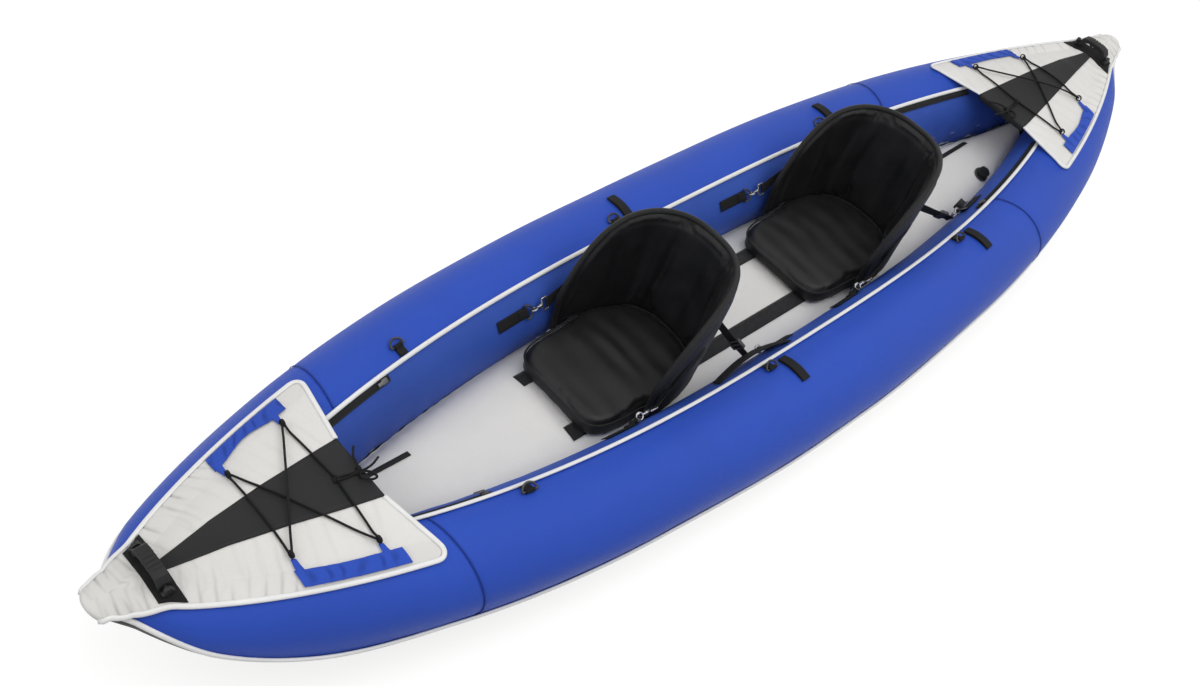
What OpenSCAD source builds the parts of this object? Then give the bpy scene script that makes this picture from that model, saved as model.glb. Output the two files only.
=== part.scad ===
// Two-seat inflatable kayak with decks, seats, straps and fittings
// Millimetres. The bow points to +X, port is +Y, up is +Z and the ground is z = 0.

/* [Hull] */
// Overall length from bow tip to stern tip
length = 3400; // [3250:10:3600]
// Overall width across both side tubes
beam = 884; // [870:2:920]
// Diameter of one side tube amidships
tube_d = 257; // [248:1:262]
// Height that the tube tops gain toward the tips
sheer_rise = 75; // [60:1:90]
// Height of the underside at the tips
forefoot = 330; // [310:1:332]
// Height that the underside gains before it turns up to the tips
rocker = 75; // [60:1:85]
// Extra lift of the stern tip
stern_lift = 26; // [10:1:35]
// Length of the flat part of the underside
flat_length = 900; // [700:10:1100]
// Thickness of the cover fabric
cover_t = 2; // [1.6:0.1:2.4]

/* [Floor and decks] */
// Height of the inflated floor along the middle
floor_h = 115; // [105:1:122]
// Length of each deck
deck_len = 600; // [560:5:640]
// Crown of each deck above the tubes
deck_crown = 22; // [10:1:30]
// Diameter of the elastic deck cord
cord_d = 5; // [4:0.5:6]
// Width of the carry handle webbing
handle_band_w = 44; // [36:1:50]

/* [Seats] */
// Distance from the hull middle to the front edge of the front seat
seat_front_x = 585; // [560:5:610]
// Distance between the two seats
seat_spacing = 772; // [740:2:800]
// Length of a seat cushion
cushion_len = 365; // [340:1:385]
// Distance from the hull side to the side of a seat cushion
seat_margin = 297; // [290:1:310]
// Thickness of a seat cushion at its edge
cushion_t = 46; // [36:1:54]
// Height of a backrest above the cushion edge
back_h = 282; // [240:2:310]
// Thickness of the backrest foam
back_t = 22; // [18:1:24]

/* [Fittings] */
// Inner width of a D-ring
ring_w = 30; // [26:1:34]
// Wire diameter of a D-ring
ring_wire = 5; // [4:0.5:6]
// Width of the seat strap webbing
strap_w = 25; // [20:1:30]
// Diameter of a valve cap
cap_d = 34; // [32:1:40]

/* [Hidden] */
$fn = 32;
half = length / 2;
cushion_w = beam - 2 * seat_margin;
radius0 = tube_d / 2;
spread0 = (beam - tube_d) / 2;
tip_x = half - 20;
deck_x = half - deck_len;
wall_x = 0.76 * half;
gap = 0.4;
welt = 3.2;
seam = 0.35;
piping_angle = 119.4;
chine_angle = -19;
floor_angle = 205;
seam_angle = 255;
stations = 14;
deck_edge_cut = 30;
deck_top = gap + cover_t;
ring_xs = [0.509 * half, 0.098 * half, -0.356 * half];
ring_r = ring_wire / 2;
strip_t = 1.6;
seat_xs = [seat_front_x, seat_front_x - seat_spacing];
wing_split = 42;

// Hull lines, all as functions of the distance x along the boat
function clamp(v, a, b) = min(b, max(a, v));
function mix(a, b, t) = a + (b - a) * t;
function un(x) = abs(x) / half;
function spread(x) = max(0, spread0 * (1 - pow(un(x) / 0.965, 2.8)));
function ease(t) = let (c = clamp(t, 0, 1)) c * c * (3 - 2 * c);
function wide(x) = radius0 * pow(max(0.000001, 1 - pow(un(x), 12)), 0.5) * (1 - 0.35 * ease((abs(x) - (half - 200)) / 140));
function close(x) = pow(max(0.000001, 1 - pow(un(x), 40)), 0.4);
function end_lift(x) = x < 0 ? stern_lift : 6;
function sheer(x) = tube_d + sheer_rise * pow(un(x), 2.3) + end_lift(x) * pow(un(x), 5);
function past_flat(x) = max(0, (abs(x) - flat_length / 2) / (half - flat_length / 2));
function keel(x) = rocker * pow(past_flat(x), 2) + (forefoot - rocker) * pow(past_flat(x), 7)
  + (x < 0 ? stern_lift * 0.9 * pow(past_flat(x), 5) : 0);
function high(x) = (sheer(x) - keel(x)) / 2 * close(x);
function mid(x) = (sheer(x) + keel(x)) / 2;
// The bottom fabric draws the lower side of each tube in ahead and aft of the middle
function tuck(x, a) = let (b = a > 270 ? a - 360 : a)
  b > 30 ? 0 : 18 * ease((abs(x) - 100) / 500) * (1 - ease((abs(x) - 1100) / 300)) * pow(sin(1.5 * (30 - b)), 2);
// Point on the port tube at an angle from outboard, moved inward by d
function tube(x, a, d) = [x, spread(x) + (wide(x) - d) * cos(a) - tuck(x, a), mid(x) + (high(x) - d) * sin(a)];
// Angles of the top piping, the chine piping and the stations along the boat
function upper_angle(x) = min(piping_angle, acos(clamp((3 * cover_t - spread(x)) / wide(x), -1, 1)));
function lower_angle(x) = chine_angle + 9 * ease((abs(x) - 100) / 500)
  + 46 * pow(clamp((abs(x) - 0.765 * half) / (0.214 * half), 0, 1), 6);
function along(i, n, e) = e * (0.55 * i / n + 0.45 * sin(90 * i / n));
hull_xs = [for (i = [-stations : stations]) along(i, stations, tip_x)];
wall_xs = [for (i = [-11 : 11]) along(i, 11, wall_x)];

// Floor surface across the cockpit
function floor_half(x) = spread(x) + (wide(x)) * cos(floor_angle) - 0.6;
function floor_side(x) = mid(x) + high(x) * sin(floor_angle);
function floor_mid(x) = keel(x) + floor_h;
function floor_z(x, y) = mix(floor_side(x), floor_mid(x), 1 - pow(min(1, abs(y) / floor_half(x)), 3));

// Deck surface over the tubes
function rail(x) = max(1.5, spread(x));
function deck_angle(x) = 72 - 6 * clamp((abs(x) - deck_x) / deck_len, 0, 1)
  - 30 * ease((abs(x) - (half - 130)) / 100) - 100 * pow(clamp((abs(x) - (half - 30)) / 30, 0, 1), 2);
function crown(x) = deck_crown * clamp((abs(x) - deck_x) / 220, 0, 1) * pow(clamp((half - abs(x)) / 260, 0, 1), 2);
function nose_gap(x) = 8 * clamp((abs(x) - (half - 150)) / 100, 0, 1);
function deck_edge_y(x) = rail(x) + wide(x) * cos(deck_angle(x));
function deck_z(x, y, h) = let (o = h + nose_gap(x)) abs(y) <= rail(x)
  ? sheer_closed(x) + o + crown(x) * (1 - pow(abs(y) / rail(x), 2))
  : mid(x) + (high(x) + o) * sqrt(max(0, 1 - pow((abs(y) - rail(x)) / (wide(x) + o), 2)));
function sheer_closed(x) = mid(x) + high(x);
function keel_closed(x) = mid(x) - high(x);
function deck_point(x, v, h) = let (o = h + nose_gap(x)) abs(v) <= 0.5
  ? [x, 2 * v * rail(x), sheer_closed(x) + o + crown(x) * (1 - 4 * v * v)]
  : let (a = mix(90, deck_angle(x), 2 * abs(v) - 1))
    [x, sign(v) * (rail(x) + (wide(x) + o) * cos(a)), mid(x) + (high(x) + o) * sin(a)];
function deck_y(v) = abs(v) <= 0.5 ? 2 * abs(v) * spread(deck_x)
  : spread(deck_x) + wide(deck_x) * cos(mix(90, deck_angle(deck_x), 2 * abs(v) - 1));
function deck_start(v) = deck_x + deck_edge_cut * (1 - clamp((deck_y(v) - 82) / (deck_edge_y(deck_x) - 82), 0, 1))
  + 18 * pow(clamp((abs(v) - 0.9) / 0.1, 0, 1), 2);

// Solids made from rows of points
function flipped(list) = [for (i = [len(list) - 1 : -1 : 0]) list[i]];
function side_faces(m, n) = [for (i = [0 : m - 2], j = [0 : n - 1], h = [0, 1])
  let (k = (j + 1) % n, a = i * n + j, b = i * n + k, c = (i + 1) * n + k, d = (i + 1) * n + j)
  h == 0 ? [a, c, b] : [a, d, c]];
module loft(rings) {
  m = len(rings);
  n = len(rings[0]);
  polyhedron(
    points = [for (r = rings) each r],
    faces = concat(side_faces(m, n), [[for (j = [0 : n - 1]) j]], [[for (j = [n - 1 : -1 : 0]) (m - 1) * n + j]])
  );
}
module sheet(outer, inner) {
  m = len(outer);
  w = len(outer[0]);
  n = 2 * w;
  e = (m - 1) * n;
  first = [for (j = [0 : w - 2], h = [0, 1]) h == 0 ? [j, j + 1, n - 2 - j] : [j, n - 2 - j, n - 1 - j]];
  last = [for (j = [0 : w - 2], h = [0, 1])
    h == 0 ? [e + j, e + n - 2 - j, e + j + 1] : [e + j, e + n - 1 - j, e + n - 2 - j]];
  polyhedron(
    points = [for (i = [0 : m - 1]) each concat(outer[i], flipped(inner[i]))],
    faces = concat(side_faces(m, n), first, last)
  );
}
function unit(v) = v / norm(v);
function heading(p, i) = unit(p[min(i + 1, len(p) - 1)] - p[max(i - 1, 0)]);
function cord_ring(p, i, r, n) =
  let (t = heading(p, i), s = unit(cross([0, 0, 1], t)), u = cross(t, s))
  [for (k = [0 : n - 1]) p[i] + r * cos(360 * k / n) * s + r * sin(360 * k / n) * u];
module sweep(p, r, n) {
  loft([for (i = [0 : len(p) - 1]) cord_ring(p, i, r, n)]);
}
module both_sides() {
  children();
  mirror([0, 1, 0]) children();
}

// Places children on the port tube: local x along the boat, local z away from the tube
module on_tube(x, a) {
  ahead = tube(x + 5, a, 0);
  back = tube(x - 5, a, 0);
  yaw = atan2(ahead[1] - back[1], 10);
  pitch = atan2(ahead[2] - back[2], 10);
  translate(tube(x, a, 0)) rotate([0, -pitch, yaw]) rotate([a - 90, 0, 0]) children();
}
// Points children along a direction: local x goes from p to q
module aim(p, q) {
  d = unit(q - p);
  translate(p) rotate([0, -asin(d[2]), atan2(d[1], d[0])]) children();
}

// Covers and chambers
module hull_bottom() {
  color("dimgray") sheet(bottom_rows(0), bottom_rows(cover_t));
}
function bottom_rows(d) = [for (x = hull_xs) concat(
  [for (k = [6 : -1 : 0]) bottom_point(x, mix(-90, lower_angle(x), k / 6), d, -1)],
  [[x, 0, mid(x) - high(x) + d]],
  [for (k = [0 : 6]) bottom_point(x, mix(-90, lower_angle(x), k / 6), d, 1)]
)];
function bottom_point(x, a, d, s) = let (p = tube(x, a, d)) [x, s * p[1] + (p[1] == 0 ? s * 0.5 : 0), p[2]];
function band_rows(xs, d, kind, n) = [for (x = xs) [for (k = [0 : n])
  kind == 0 ? tube(x, mix(lower_angle(x) + seam * (1 + 3 * ease((abs(x) - (half - 200)) / 140)), upper_angle(x), k / n), d)
            : tube(x, mix(upper_angle(x) + seam, seam_angle, k / n), d)]];
module side_panel() {
  sheet(band_rows(hull_xs, 0, 0, 9), band_rows(hull_xs, cover_t, 0, 9));
}
module port_side_panel() {
  color("royalblue") side_panel();
}
module starboard_side_panel() {
  color("royalblue") mirror([0, 1, 0]) side_panel();
}
module inner_panel() {
  sheet(band_rows(wall_xs, 0, 1, 11), band_rows(wall_xs, cover_t, 1, 11));
}
module port_inner_panel() {
  color("mediumblue") inner_panel();
}
module starboard_inner_panel() {
  color("mediumblue") mirror([0, 1, 0]) inner_panel();
}
module air_chamber() {
  loft([for (x = hull_xs) [for (k = [0 : 13])
    let (p = tube(x, 360 * k / 14, cover_t + 3 + 4 * clamp((abs(x) - 1600) / 80, 0, 1))) [x, max(1.5, p[1]), p[2]]]]);
}
module port_air_chamber() {
  color("lightsteelblue") air_chamber();
}
module starboard_air_chamber() {
  color("lightsteelblue") mirror([0, 1, 0]) air_chamber();
}
floor_vs = [1, 0.86, 0.62, 0.3, 0, -0.3, -0.62, -0.86, -1];
function floor_rows(d) = [for (x = wall_xs) [for (v = floor_vs)
  let (y = v * floor_half(x)) [x, y, floor_z(x, y) - d]]];
module floor_cover() {
  color("gainsboro") sheet(floor_rows(0), floor_rows(1.25 * cover_t));
}
module floor_air_chamber() {
  color("lightgray") loft([for (x = wall_xs) concat(
    [for (v = floor_vs) let (y = 0.97 * v * floor_half(x)) [x, y, floor_z(x, y) - cover_t - 4.5]],
    [[x, -0.9 * floor_half(x), mid(x) - high(x) + cover_t + 4], [x, 0.9 * floor_half(x), mid(x) - high(x) + cover_t + 4]]
  )]);
}

// Piping along the seams
module gunwale_piping() {
  color("white") both_sides() sweep([for (x = hull_xs) if (abs(x) < 0.9 * half) tube(x, upper_angle(x), -welt - gap)], welt, 5);
}
module chine_piping() {
  color("white") both_sides() sweep(
    [for (x = hull_xs) if (abs(x) < half - 42) tube(x, lower_angle(x), -welt * 0.8 - 2.5 * gap)], welt * 0.8, 5);
}

// Decks
deck_ts = [0, 0.07, 0.18, 0.3, 0.42, 0.54, 0.65, 0.74, 0.81, 0.87, 0.92, 0.96, 0.985, 1];
deck_vs = [1, 0.9, 0.75, 0.6, 0.5, 0.36, 0.18, 0, -0.18, -0.36, -0.5, -0.6, -0.75, -0.9, -1];
function deck_rows(s, o) = [for (t = s > 0 ? deck_ts : flipped(deck_ts))
  [for (v = deck_vs) deck_point(s * mix(deck_start(v), half, t), v, o)]];
module bow_deck() {
  color("silver") sheet(deck_rows(1, deck_top), deck_rows(1, gap));
}
module stern_deck() {
  color("silver") sheet(deck_rows(-1, deck_top), deck_rows(-1, gap));
}
panel_end = deck_len - 165;
function panel_half(t) = mix(82, 11, t);
function panel_rows(s, o) = [for (t = s > 0 ? [0 : 0.125 : 1] : [1 : -0.125 : 0]) [for (v = [1, 0.5, 0, -0.5, -1])
  let (x = s * mix(deck_x + deck_edge_cut + 4, deck_x + panel_end, t), y = v * panel_half(t)) [x, y, deck_z(x, y, o)]]];
module deck_center_panels() {
  color("black") for (s = [1, -1]) sheet(panel_rows(s, deck_top + 2.4), panel_rows(s, deck_top + 1.2));
}
function edge_point(s, x, side) = let (a = deck_angle(x) - 3.7 - 6 * clamp((x - (half - 90)) / 50, 0, 1), o = welt + 3 * gap + nose_gap(x))
  [s * x, side * (rail(s * x) + (wide(s * x) + o) * cos(a)), mid(s * x) + (high(s * x) + o) * sin(a)];
edge_ts = [0.94, 0.91, 0.87, 0.78, 0.66, 0.52, 0.38, 0.24, 0.12, 0.06, 0.033];
function edge_path(s) = concat(
  [for (t = edge_ts) edge_point(s, mix(deck_x, half, t), 1)],
  [for (v = [0.985, 0.94, 0.88, 0.6, 0.2, -0.2, -0.6, -0.88, -0.94, -0.985])
    let (x = s * (deck_start(v) - welt - 2)) deck_point(x, v, welt + 2 * gap)],
  [for (t = flipped(edge_ts)) edge_point(s, mix(deck_x, half, t), -1)]
);
module deck_edge_piping() {
  color("white") for (s = [1, -1]) sweep(edge_path(s), welt, 5);
}

// Lacing patches, loops and elastic cords on the decks
loop_xs = [deck_x + 97, deck_x + 254];
loop_ins = [63, 68];
function loop_y(k) = deck_edge_y(loop_xs[k]) - loop_ins[k];
loop_lift = 12.2;
knot_back = 12;
function loop_point(s, k, side) = [s * loop_xs[k], side * loop_y(k), deck_z(s * loop_xs[k], loop_y(k), deck_top) + loop_lift];
gusset_rows = [[-30, 35], [-10, 36], [-8, 62], [8, 62], [10, 36], [80, 32], [146, 36], [148, 66], [168, 66]];
function gusset_grid(s, o) = [for (g = s > 0 ? gusset_rows : flipped(gusset_rows)) [for (f = [0.06, 0.5, 1])
  let (x = s * (loop_xs[0] + g[0]), y = deck_edge_y(x) - f * g[1] - 3) [x, y, deck_z(x, y, o)]]];
module bungee_gussets() {
  color("blue") both_sides() for (s = [1, -1]) sheet(gusset_grid(s, deck_top + 2.4), gusset_grid(s, deck_top + 1.2));
}
module bungee_loops() {
  color("black") for (s = [1, -1], k = [0, 1], side = [1, -1])
    translate(loop_point(s, k, side)) rotate([0, 90, 0]) rotate_extrude() translate([7.5, 0]) circle(r = 1.8, $fn = 16);
}
function over_deck(p, h) = [p[0], p[1], deck_z(p[0], p[1], deck_top) + h];
function pass(s, k, side, dir) = let (c = loop_point(s, k, side)) [
  c + [-dir * 11, -side * 9, -2], c, c + [dir * 11, -side * 9, -2]];
function span(a, b, h) = [for (t = [0.14, 0.3, 0.5, 0.7, 0.86]) over_deck(mix(a, b, t), h)];
function lacing(s) = let (
    knot = [s * (loop_xs[0] - knot_back), 0, 0],
    p2 = loop_point(s, 0, 1), p1 = loop_point(s, 1, 1), q2 = loop_point(s, 0, -1), q1 = loop_point(s, 1, -1))
  concat(
    [over_deck(knot + [0, 7, 0], 7)], span(knot, p2, 5.9),
    pass(s, 0, 1, s), span(p2, q1, 5.9), pass(s, 1, -1, s),
    span(q1, p1, 5.9), pass(s, 1, 1, -s), span(p1, q2, 12.5), pass(s, 0, -1, -s),
    span(q2, knot, 5.9), [over_deck(knot + [0, -7, 0], 7)]
  );
module bungee(s) {
  c = over_deck([s * (loop_xs[0] - knot_back), 0, 0], 7);
  sweep(lacing(s), cord_d / 2, 5);
  translate(c) rotate([0, 0, 20]) rotate_extrude() translate([5.5, 0]) circle(r = cord_d / 2 + 0.2, $fn = 16);
  sweep([c + [0, 4, 0], c + [-s * 12, 16, 1], c + [-s * 26, 20, -2], c + [-s * 46, 12, -4]], cord_d / 2, 6);
  sweep([c + [0, -4, 0], c + [-s * 14, -14, 1], c + [-s * 30, -22, -2], c + [-s * 52, -30, -6]], cord_d / 2, 6);
}
module bow_bungee() {
  color("black") bungee(1);
}
module stern_bungee() {
  color("black") bungee(-1);
}

// Carry handles
handle_x = half - 128;
function band_point(x, t, o) = let (y = t * (deck_edge_y(x) - 2)) [x, y, deck_z(x, y, o)];
module handle_bands() {
  color("black") for (s = [1, -1]) sheet(
    [for (f = [-0.5, 0, 0.5]) [for (t = [1 : -0.2 : -1]) band_point(s * handle_x + f * handle_band_w, t, deck_top + 2.8)]],
    [for (f = [-0.5, 0, 0.5]) [for (t = [1 : -0.2 : -1]) band_point(s * handle_x + f * handle_band_w, t, deck_top + 0.8)]]
  );
}
grip_half = 46;
pin_r = 4;
function grip_z(s) = deck_z(s * handle_x, 0, deck_top) + 10.5;
module at_grip(s) {
  translate([s * handle_x, 0, grip_z(s)]) children();
}
module handle_lugs() {
  color("black") for (s = [1, -1]) at_grip(s) for (side = [1, -1]) {
    foot = grip_z(s) - deck_z(s * handle_x, grip_half + 9, deck_top) - 4.7;
    translate([0, side * (grip_half + 9), 0]) difference() {
      union() {
        rotate([90, 0, 0]) cylinder(r = pin_r + 4, h = 8, center = true);
        translate([-12, -4, -foot]) cube([24, 8, foot - 2]);
      }
      rotate([90, 0, 0]) cylinder(r = pin_r + 0.35, h = 20, center = true);
    }
  }
}
grip_profile = [[-1, -5], [-1, 9], [-0.8, 22], [-0.4, 27], [0.4, 27], [0.8, 22], [1, 9], [1, -5], [0.83, -5], [0.66, 9],
  [0.5, 12], [-0.5, 12], [-0.66, 9], [-0.83, -5]];
module grip() {
  difference() {
    rotate([90, 0, 90]) translate([0, 0, -13]) linear_extrude(height = 26)
      polygon([for (p = grip_profile) [p[0] * grip_half, p[1]]]);
    for (y = [-16 : 16 : 16]) translate([0, y, 8]) rotate([0, 90, 0]) cylinder(r = 7, h = 60, center = true);
    for (y = [-30 : 10 : 30]) translate([0, y, 30]) rotate([0, 90, 0]) cylinder(r = 4.6, h = 60, center = true);
  }
  for (side = [1, -1]) translate([0, side * (grip_half + 6.5), 0]) rotate([90, 0, 0]) cylinder(r = pin_r, h = 14, center = true);
}
module bow_grip() {
  color("black") at_grip(1) grip();
}
module stern_grip() {
  color("black") at_grip(-1) grip();
}

// Lashing rings with their webbing tabs and the paddle keepers
module d_ring() {
  r = ring_w / 2 + ring_r;
  rotate([90, 0, 0]) cylinder(r = ring_r, h = 2 * r, center = true);
  for (side = [1, -1]) translate([0, side * r, 0]) sphere(r = ring_r);
  rotate([0, 0, -90]) rotate_extrude(angle = 180) translate([r, 0]) circle(r = ring_r);
}
module sleeve(w) {
  difference() {
    union() {
      rotate([90, 0, 0]) cylinder(r = ring_r + 2, h = w, center = true);
      translate([-24, -w / 2, -ring_r - 2]) cube([24, w, 2]);
    }
    rotate([90, 0, 0]) cylinder(r = ring_r + 0.4, h = 2 * w, center = true);
  }
}
tab_angle = 108;
bar_h = ring_r + 2.3;
module ring_place(k) {
  on_tube(ring_xs[k], tab_angle) translate([0, 5, bar_h]) rotate([0, 0, 90]) children();
}
module ring_tabs() {
  color("black") both_sides() for (k = [0 : 2]) ring_place(k) sleeve(22);
}
module port_ring(k) {
  color("dimgray") ring_place(k) rotate([0, -128, 0]) d_ring();
}
module starboard_ring(k) {
  color("dimgray") mirror([0, 1, 0]) ring_place(k) rotate([0, -6, 0]) d_ring();
}
module port_bow_ring() { port_ring(0); }
module port_mid_ring() { port_ring(1); }
module port_stern_ring() { port_ring(2); }
module starboard_bow_ring() { starboard_ring(0); }
module starboard_mid_ring() { starboard_ring(1); }
module starboard_stern_ring() { starboard_ring(2); }
function keeper_grid(x, o) = [for (dx = [-12, 12]) [for (a = [76 : 9 : 112]) tube(x + dx, a, -o)]];
module paddle_straps() {
  color("black") both_sides() for (k = [1, 2]) {
    x = ring_xs[k] - 46;
    sheet(keeper_grid(x, 2.6), keeper_grid(x, 0.6));
    sheet(keeper_grid(x, 5.4), keeper_grid(x, 3.4));
  }
}

// Inner walls: carry straps, strap anchors, zips and valves
function carry_grid(o) = [for (i = [0 : 10]) let (x = 40 + 25 * i, lift = 20 * sin(18 * i))
  [for (a = [128, 139]) tube(x, a, -o - lift)]];
module side_carry_straps() {
  color("black") both_sides() sheet(carry_grid(2.8), carry_grid(0.8));
}
fore_anchor_s = 22;
fore_angle = 147;
aft_angle = 146;
aft_anchor_s = [540, 622];
anchor_len = 84;
anchor_h = bar_h + 0.8;
module anchor_at(x, a, dir) {
  on_tube(x, a) rotate([0, 0, dir > 0 ? 0 : 180]) translate([anchor_len / 2 + 4, 0, anchor_h]) children();
}
module anchor_patch(x, a, dir) {
  on_tube(x, a) translate([-anchor_len / 2, -14, 0.9]) cube([anchor_len, 28, 1.8]);
  anchor_at(x, a, dir) difference() {
    union() {
      rotate([90, 0, 0]) cylinder(r = ring_r + 2, h = 22, center = true);
      translate([-24, -11, -2.5]) cube([24, 22, 2]);
    }
    rotate([90, 0, 0]) cylinder(r = ring_r + 0.4, h = 60, center = true);
  }
}
module each_anchor() {
  both_sides() for (k = [0, 1]) {
    x0 = seat_xs[k] - fore_anchor_s;
    x1 = seat_xs[k] - aft_anchor_s[k];
    $fore = true;
    $seat = k;
    $x = x0;
    $a = fore_angle;
    $dir = -1;
    children();
    let ($fore = false, $x = x1, $a = aft_angle, $dir = 1) children();
  }
}
module anchor_patches() {
  color("black") each_anchor() anchor_patch($x, $a, $dir);
}
ring_tilt = 22;
hook_tilt = 2;
module anchor_rings() {
  color("dimgray") each_anchor() anchor_at($x, $a, $dir) rotate([0, -ring_tilt, 0]) d_ring();
}
hook_r = 8.5;
module hook_at(x, a, dir) {
  reach = ring_w / 2 + ring_r;
  anchor_at(x, a, dir) translate([reach * cos(ring_tilt), 0, reach * sin(ring_tilt)]) rotate([0, -hook_tilt, 0])
    translate([hook_r - 2.2 - ring_r - 0.3, 0, 0]) children();
}
module snap_hook() {
  rotate([90, 0, 0]) rotate_extrude() translate([hook_r, 0]) circle(r = 2.2, $fn = 20);
  translate([0, 0, 6.2]) rotate([0, 78, 0]) cylinder(r = 2.8, h = 10, center = true);
  translate([hook_r, 0, 0]) rotate([0, 90, 0]) cylinder(r = 3, h = 18);
  translate([hook_r + 8, 0, 0]) rotate([0, 90, 0]) cylinder(r = 5, h = 7);
  for (x = [hook_r + 18, hook_r + 34]) translate([x, 0, 0]) rotate([90, 0, 0]) cylinder(r = 2.2, h = strap_w + 4, center = true);
  for (side = [1, -1]) translate([hook_r + 18, side * (strap_w / 2 + 2), 0]) rotate([0, 90, 0]) cylinder(r = 2.2, h = 16);
}
module strap_hooks() {
  color("gray") each_anchor() hook_at($x, $a, $dir) snap_hook();
}
function zip_rows(z, ws, o) = [for (i = [0 : 6]) let (x = mix(z[0], z[1], i / 6))
  [for (w = ws) tube(x, zip_angle + w, -o)]];
zip_xs = [[deck_x - 178, deck_x + 40], [-deck_x - 40, -deck_x + 330]];
zip_angle = 125.4;
zip_turn = 3.7;
module side_zips() {
  color("black") both_sides() for (z = zip_xs) {
    sheet(zip_rows(z, [-zip_turn, 0, zip_turn], 1.9), zip_rows(z, [-zip_turn, 0, zip_turn], 0.7));
    sheet(zip_rows(z, [-1.2, 1.2], 4), zip_rows(z, [-1.2, 1.2], 2.3));
  }
}
slider_xs = [deck_x - 160, -deck_x + 300];
module slider(k) {
  on_tube(slider_xs[k], zip_angle) {
    translate([-8, -6, 4.9]) cube([16, 12, 3]);
    for (side = [1, -1]) translate([-8, side * 4.9 - 1, 2.7]) cube([16, 2, 3]);
    translate([0, 0, 7.8]) cylinder(r = 3, h = 3);
    translate([-2, -4, 10.6]) cube([24, 8, 1.6]);
  }
}
module port_bow_slider() { color("silver") slider(0); }
module starboard_bow_slider() { color("silver") mirror([0, 1, 0]) slider(0); }
module port_stern_slider() { color("silver") slider(1); }
module starboard_stern_slider() { color("silver") mirror([0, 1, 0]) slider(1); }
function floor_strip(x0, x1, y0, w, o) = [for (i = [0 : 8]) let (x = mix(x0, x1, i / 8)) [for (v = [1, -1])
  let (y = y0 + v * w / 2) [x, y, floor_z(x, y) + o]]];
strip_inset = 55;
strip_end = seat_xs[1] - cushion_len - 8;
module seat_grip_strips() {
  strip_y = cushion_w / 2 - strip_inset;
  color("black") for (y = [strip_y, -strip_y])
    sheet(floor_strip(strip_end, seat_front_x + 18, y, 40, 0.5 + strip_t), floor_strip(strip_end, seat_front_x + 18, y, 40, 0.5));
}
module floor_zips() {
  color("black") {
    sheet(floor_strip(deck_x - 160, deck_x + 20, -60, 14, 2.1), floor_strip(deck_x - 160, deck_x + 20, -60, 14, 0.6));
    sheet(floor_strip(-deck_x - 20, -deck_x + 130, -50, 14, 2.1), floor_strip(-deck_x - 20, -deck_x + 130, -50, 14, 0.6));
  }
}
floor_valve_x = -deck_x + 45;
valve_margin = 43;
floor_valve_y = floor_half(floor_valve_x) - valve_margin;
side_valve_x = -deck_x + 262;
side_valve_angle = 170;
module floor_valve_place() {
  x = floor_valve_x;
  y = floor_valve_y;
  slope_y = atan((floor_z(x, y + 4) - floor_z(x, y - 4)) / 8);
  slope_x = atan((floor_z(x + 4, y) - floor_z(x - 4, y)) / 8);
  translate([x, y, floor_z(x, y)]) rotate([slope_y, -slope_x, 0]) translate([0, 0, 0.6]) children();
}
module valve_body() {
  cylinder(r = cap_d / 2 + 5, h = 2.5);
  cylinder(r = cap_d / 2 - 5, h = 14);
}
module valve_cap() {
  difference() {
    translate([0, 0, 3]) cylinder(r = cap_d / 2, h = 17);
    cylinder(r = cap_d / 2 - 4.6, h = 14.5);
    for (a = [0 : 24 : 359]) rotate([0, 0, a]) translate([cap_d / 2 + 1, 0, 2]) cylinder(r = 2.4, h = 19, $fn = 16);
    for (y = [-7, 7]) translate([-14, y - 3, 17.5]) cube([28, 6, 4]);
  }
}
module side_valve_place() {
  on_tube(side_valve_x, side_valve_angle) translate([0, 0, 0.5]) children();
}
module valve_bodies() {
  color("dimgray") {
    floor_valve_place() valve_body();
    both_sides() side_valve_place() valve_body();
  }
}
module floor_valve_cap() { color("black") floor_valve_place() valve_cap(); }
module port_valve_cap() { color("black") side_valve_place() valve_cap(); }
module starboard_valve_cap() { color("black") mirror([0, 1, 0]) side_valve_place() valve_cap(); }
module tow_loop() {
  x = half - 70;
  stem = atan2(keel_closed(x + 6) - keel_closed(x - 6), 12);
  color("black") translate([x, 0, keel_closed(x)]) rotate([0, -stem, 0]) translate([0, 0, -1.0]) {
    rotate([-90, 0, 0]) rotate_extrude(angle = 180) translate([13, 0]) circle(r = 3.4, $fn = 16);
    translate([-24, -9, 0]) cube([48, 18, 1.6]);
  }
}

// Seats: s runs aft from the front edge of the cushion
function cushion_point(k, a, b, top) = let (
    n = a < 0 ? 2.5 : 5.5,
    half_len = cushion_len / 2,
    q = pow(pow(abs(a), n) + pow(abs(b), n), 1 / n),
    m = max(abs(a), abs(b)),
    ease = q < 0.000001 ? 1 : m / q,
    s = half_len - half_len * a * ease,
    y = cushion_w / 2 * b * ease * (1 - 0.03 * max(0, a)),
    x = seat_xs[k] - s,
    under = floor_z(x, y) + strip_t + 1.5,
    full = floor_mid(x) + cushion_t - under,
    edge = pow(max(0, 1 - pow(m, 7)), 0.45),
    crease = 4 * exp(-pow((s - 0.36 * cushion_len) / 15, 2)) + 4 * exp(-pow((s - 0.68 * cushion_len) / 15, 2)),
    swell = 9 * (1 - m * m)
  ) [x, y, top ? under + full * (0.55 + 0.45 * edge) + swell - crease * edge : under + full * 0.12 * (1 - edge)];
cushion_steps = [-1, -0.93, -0.78, -0.6, -0.42, -0.24, -0.08, 0.08, 0.22, 0.34, 0.5, 0.66, 0.82, 0.94, 1];
cushion_cols = [1, 0.93, 0.78, 0.52, 0.26, 0, -0.26, -0.52, -0.78, -0.93, -1];
module cushion(k) {
  sheet(
    [for (a = cushion_steps) [for (b = cushion_cols) cushion_point(k, a, b, true)]],
    [for (a = cushion_steps) [for (b = cushion_cols) cushion_point(k, a, b, false)]]
  );
}
module front_cushion() { color("black") cushion(0); }
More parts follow.
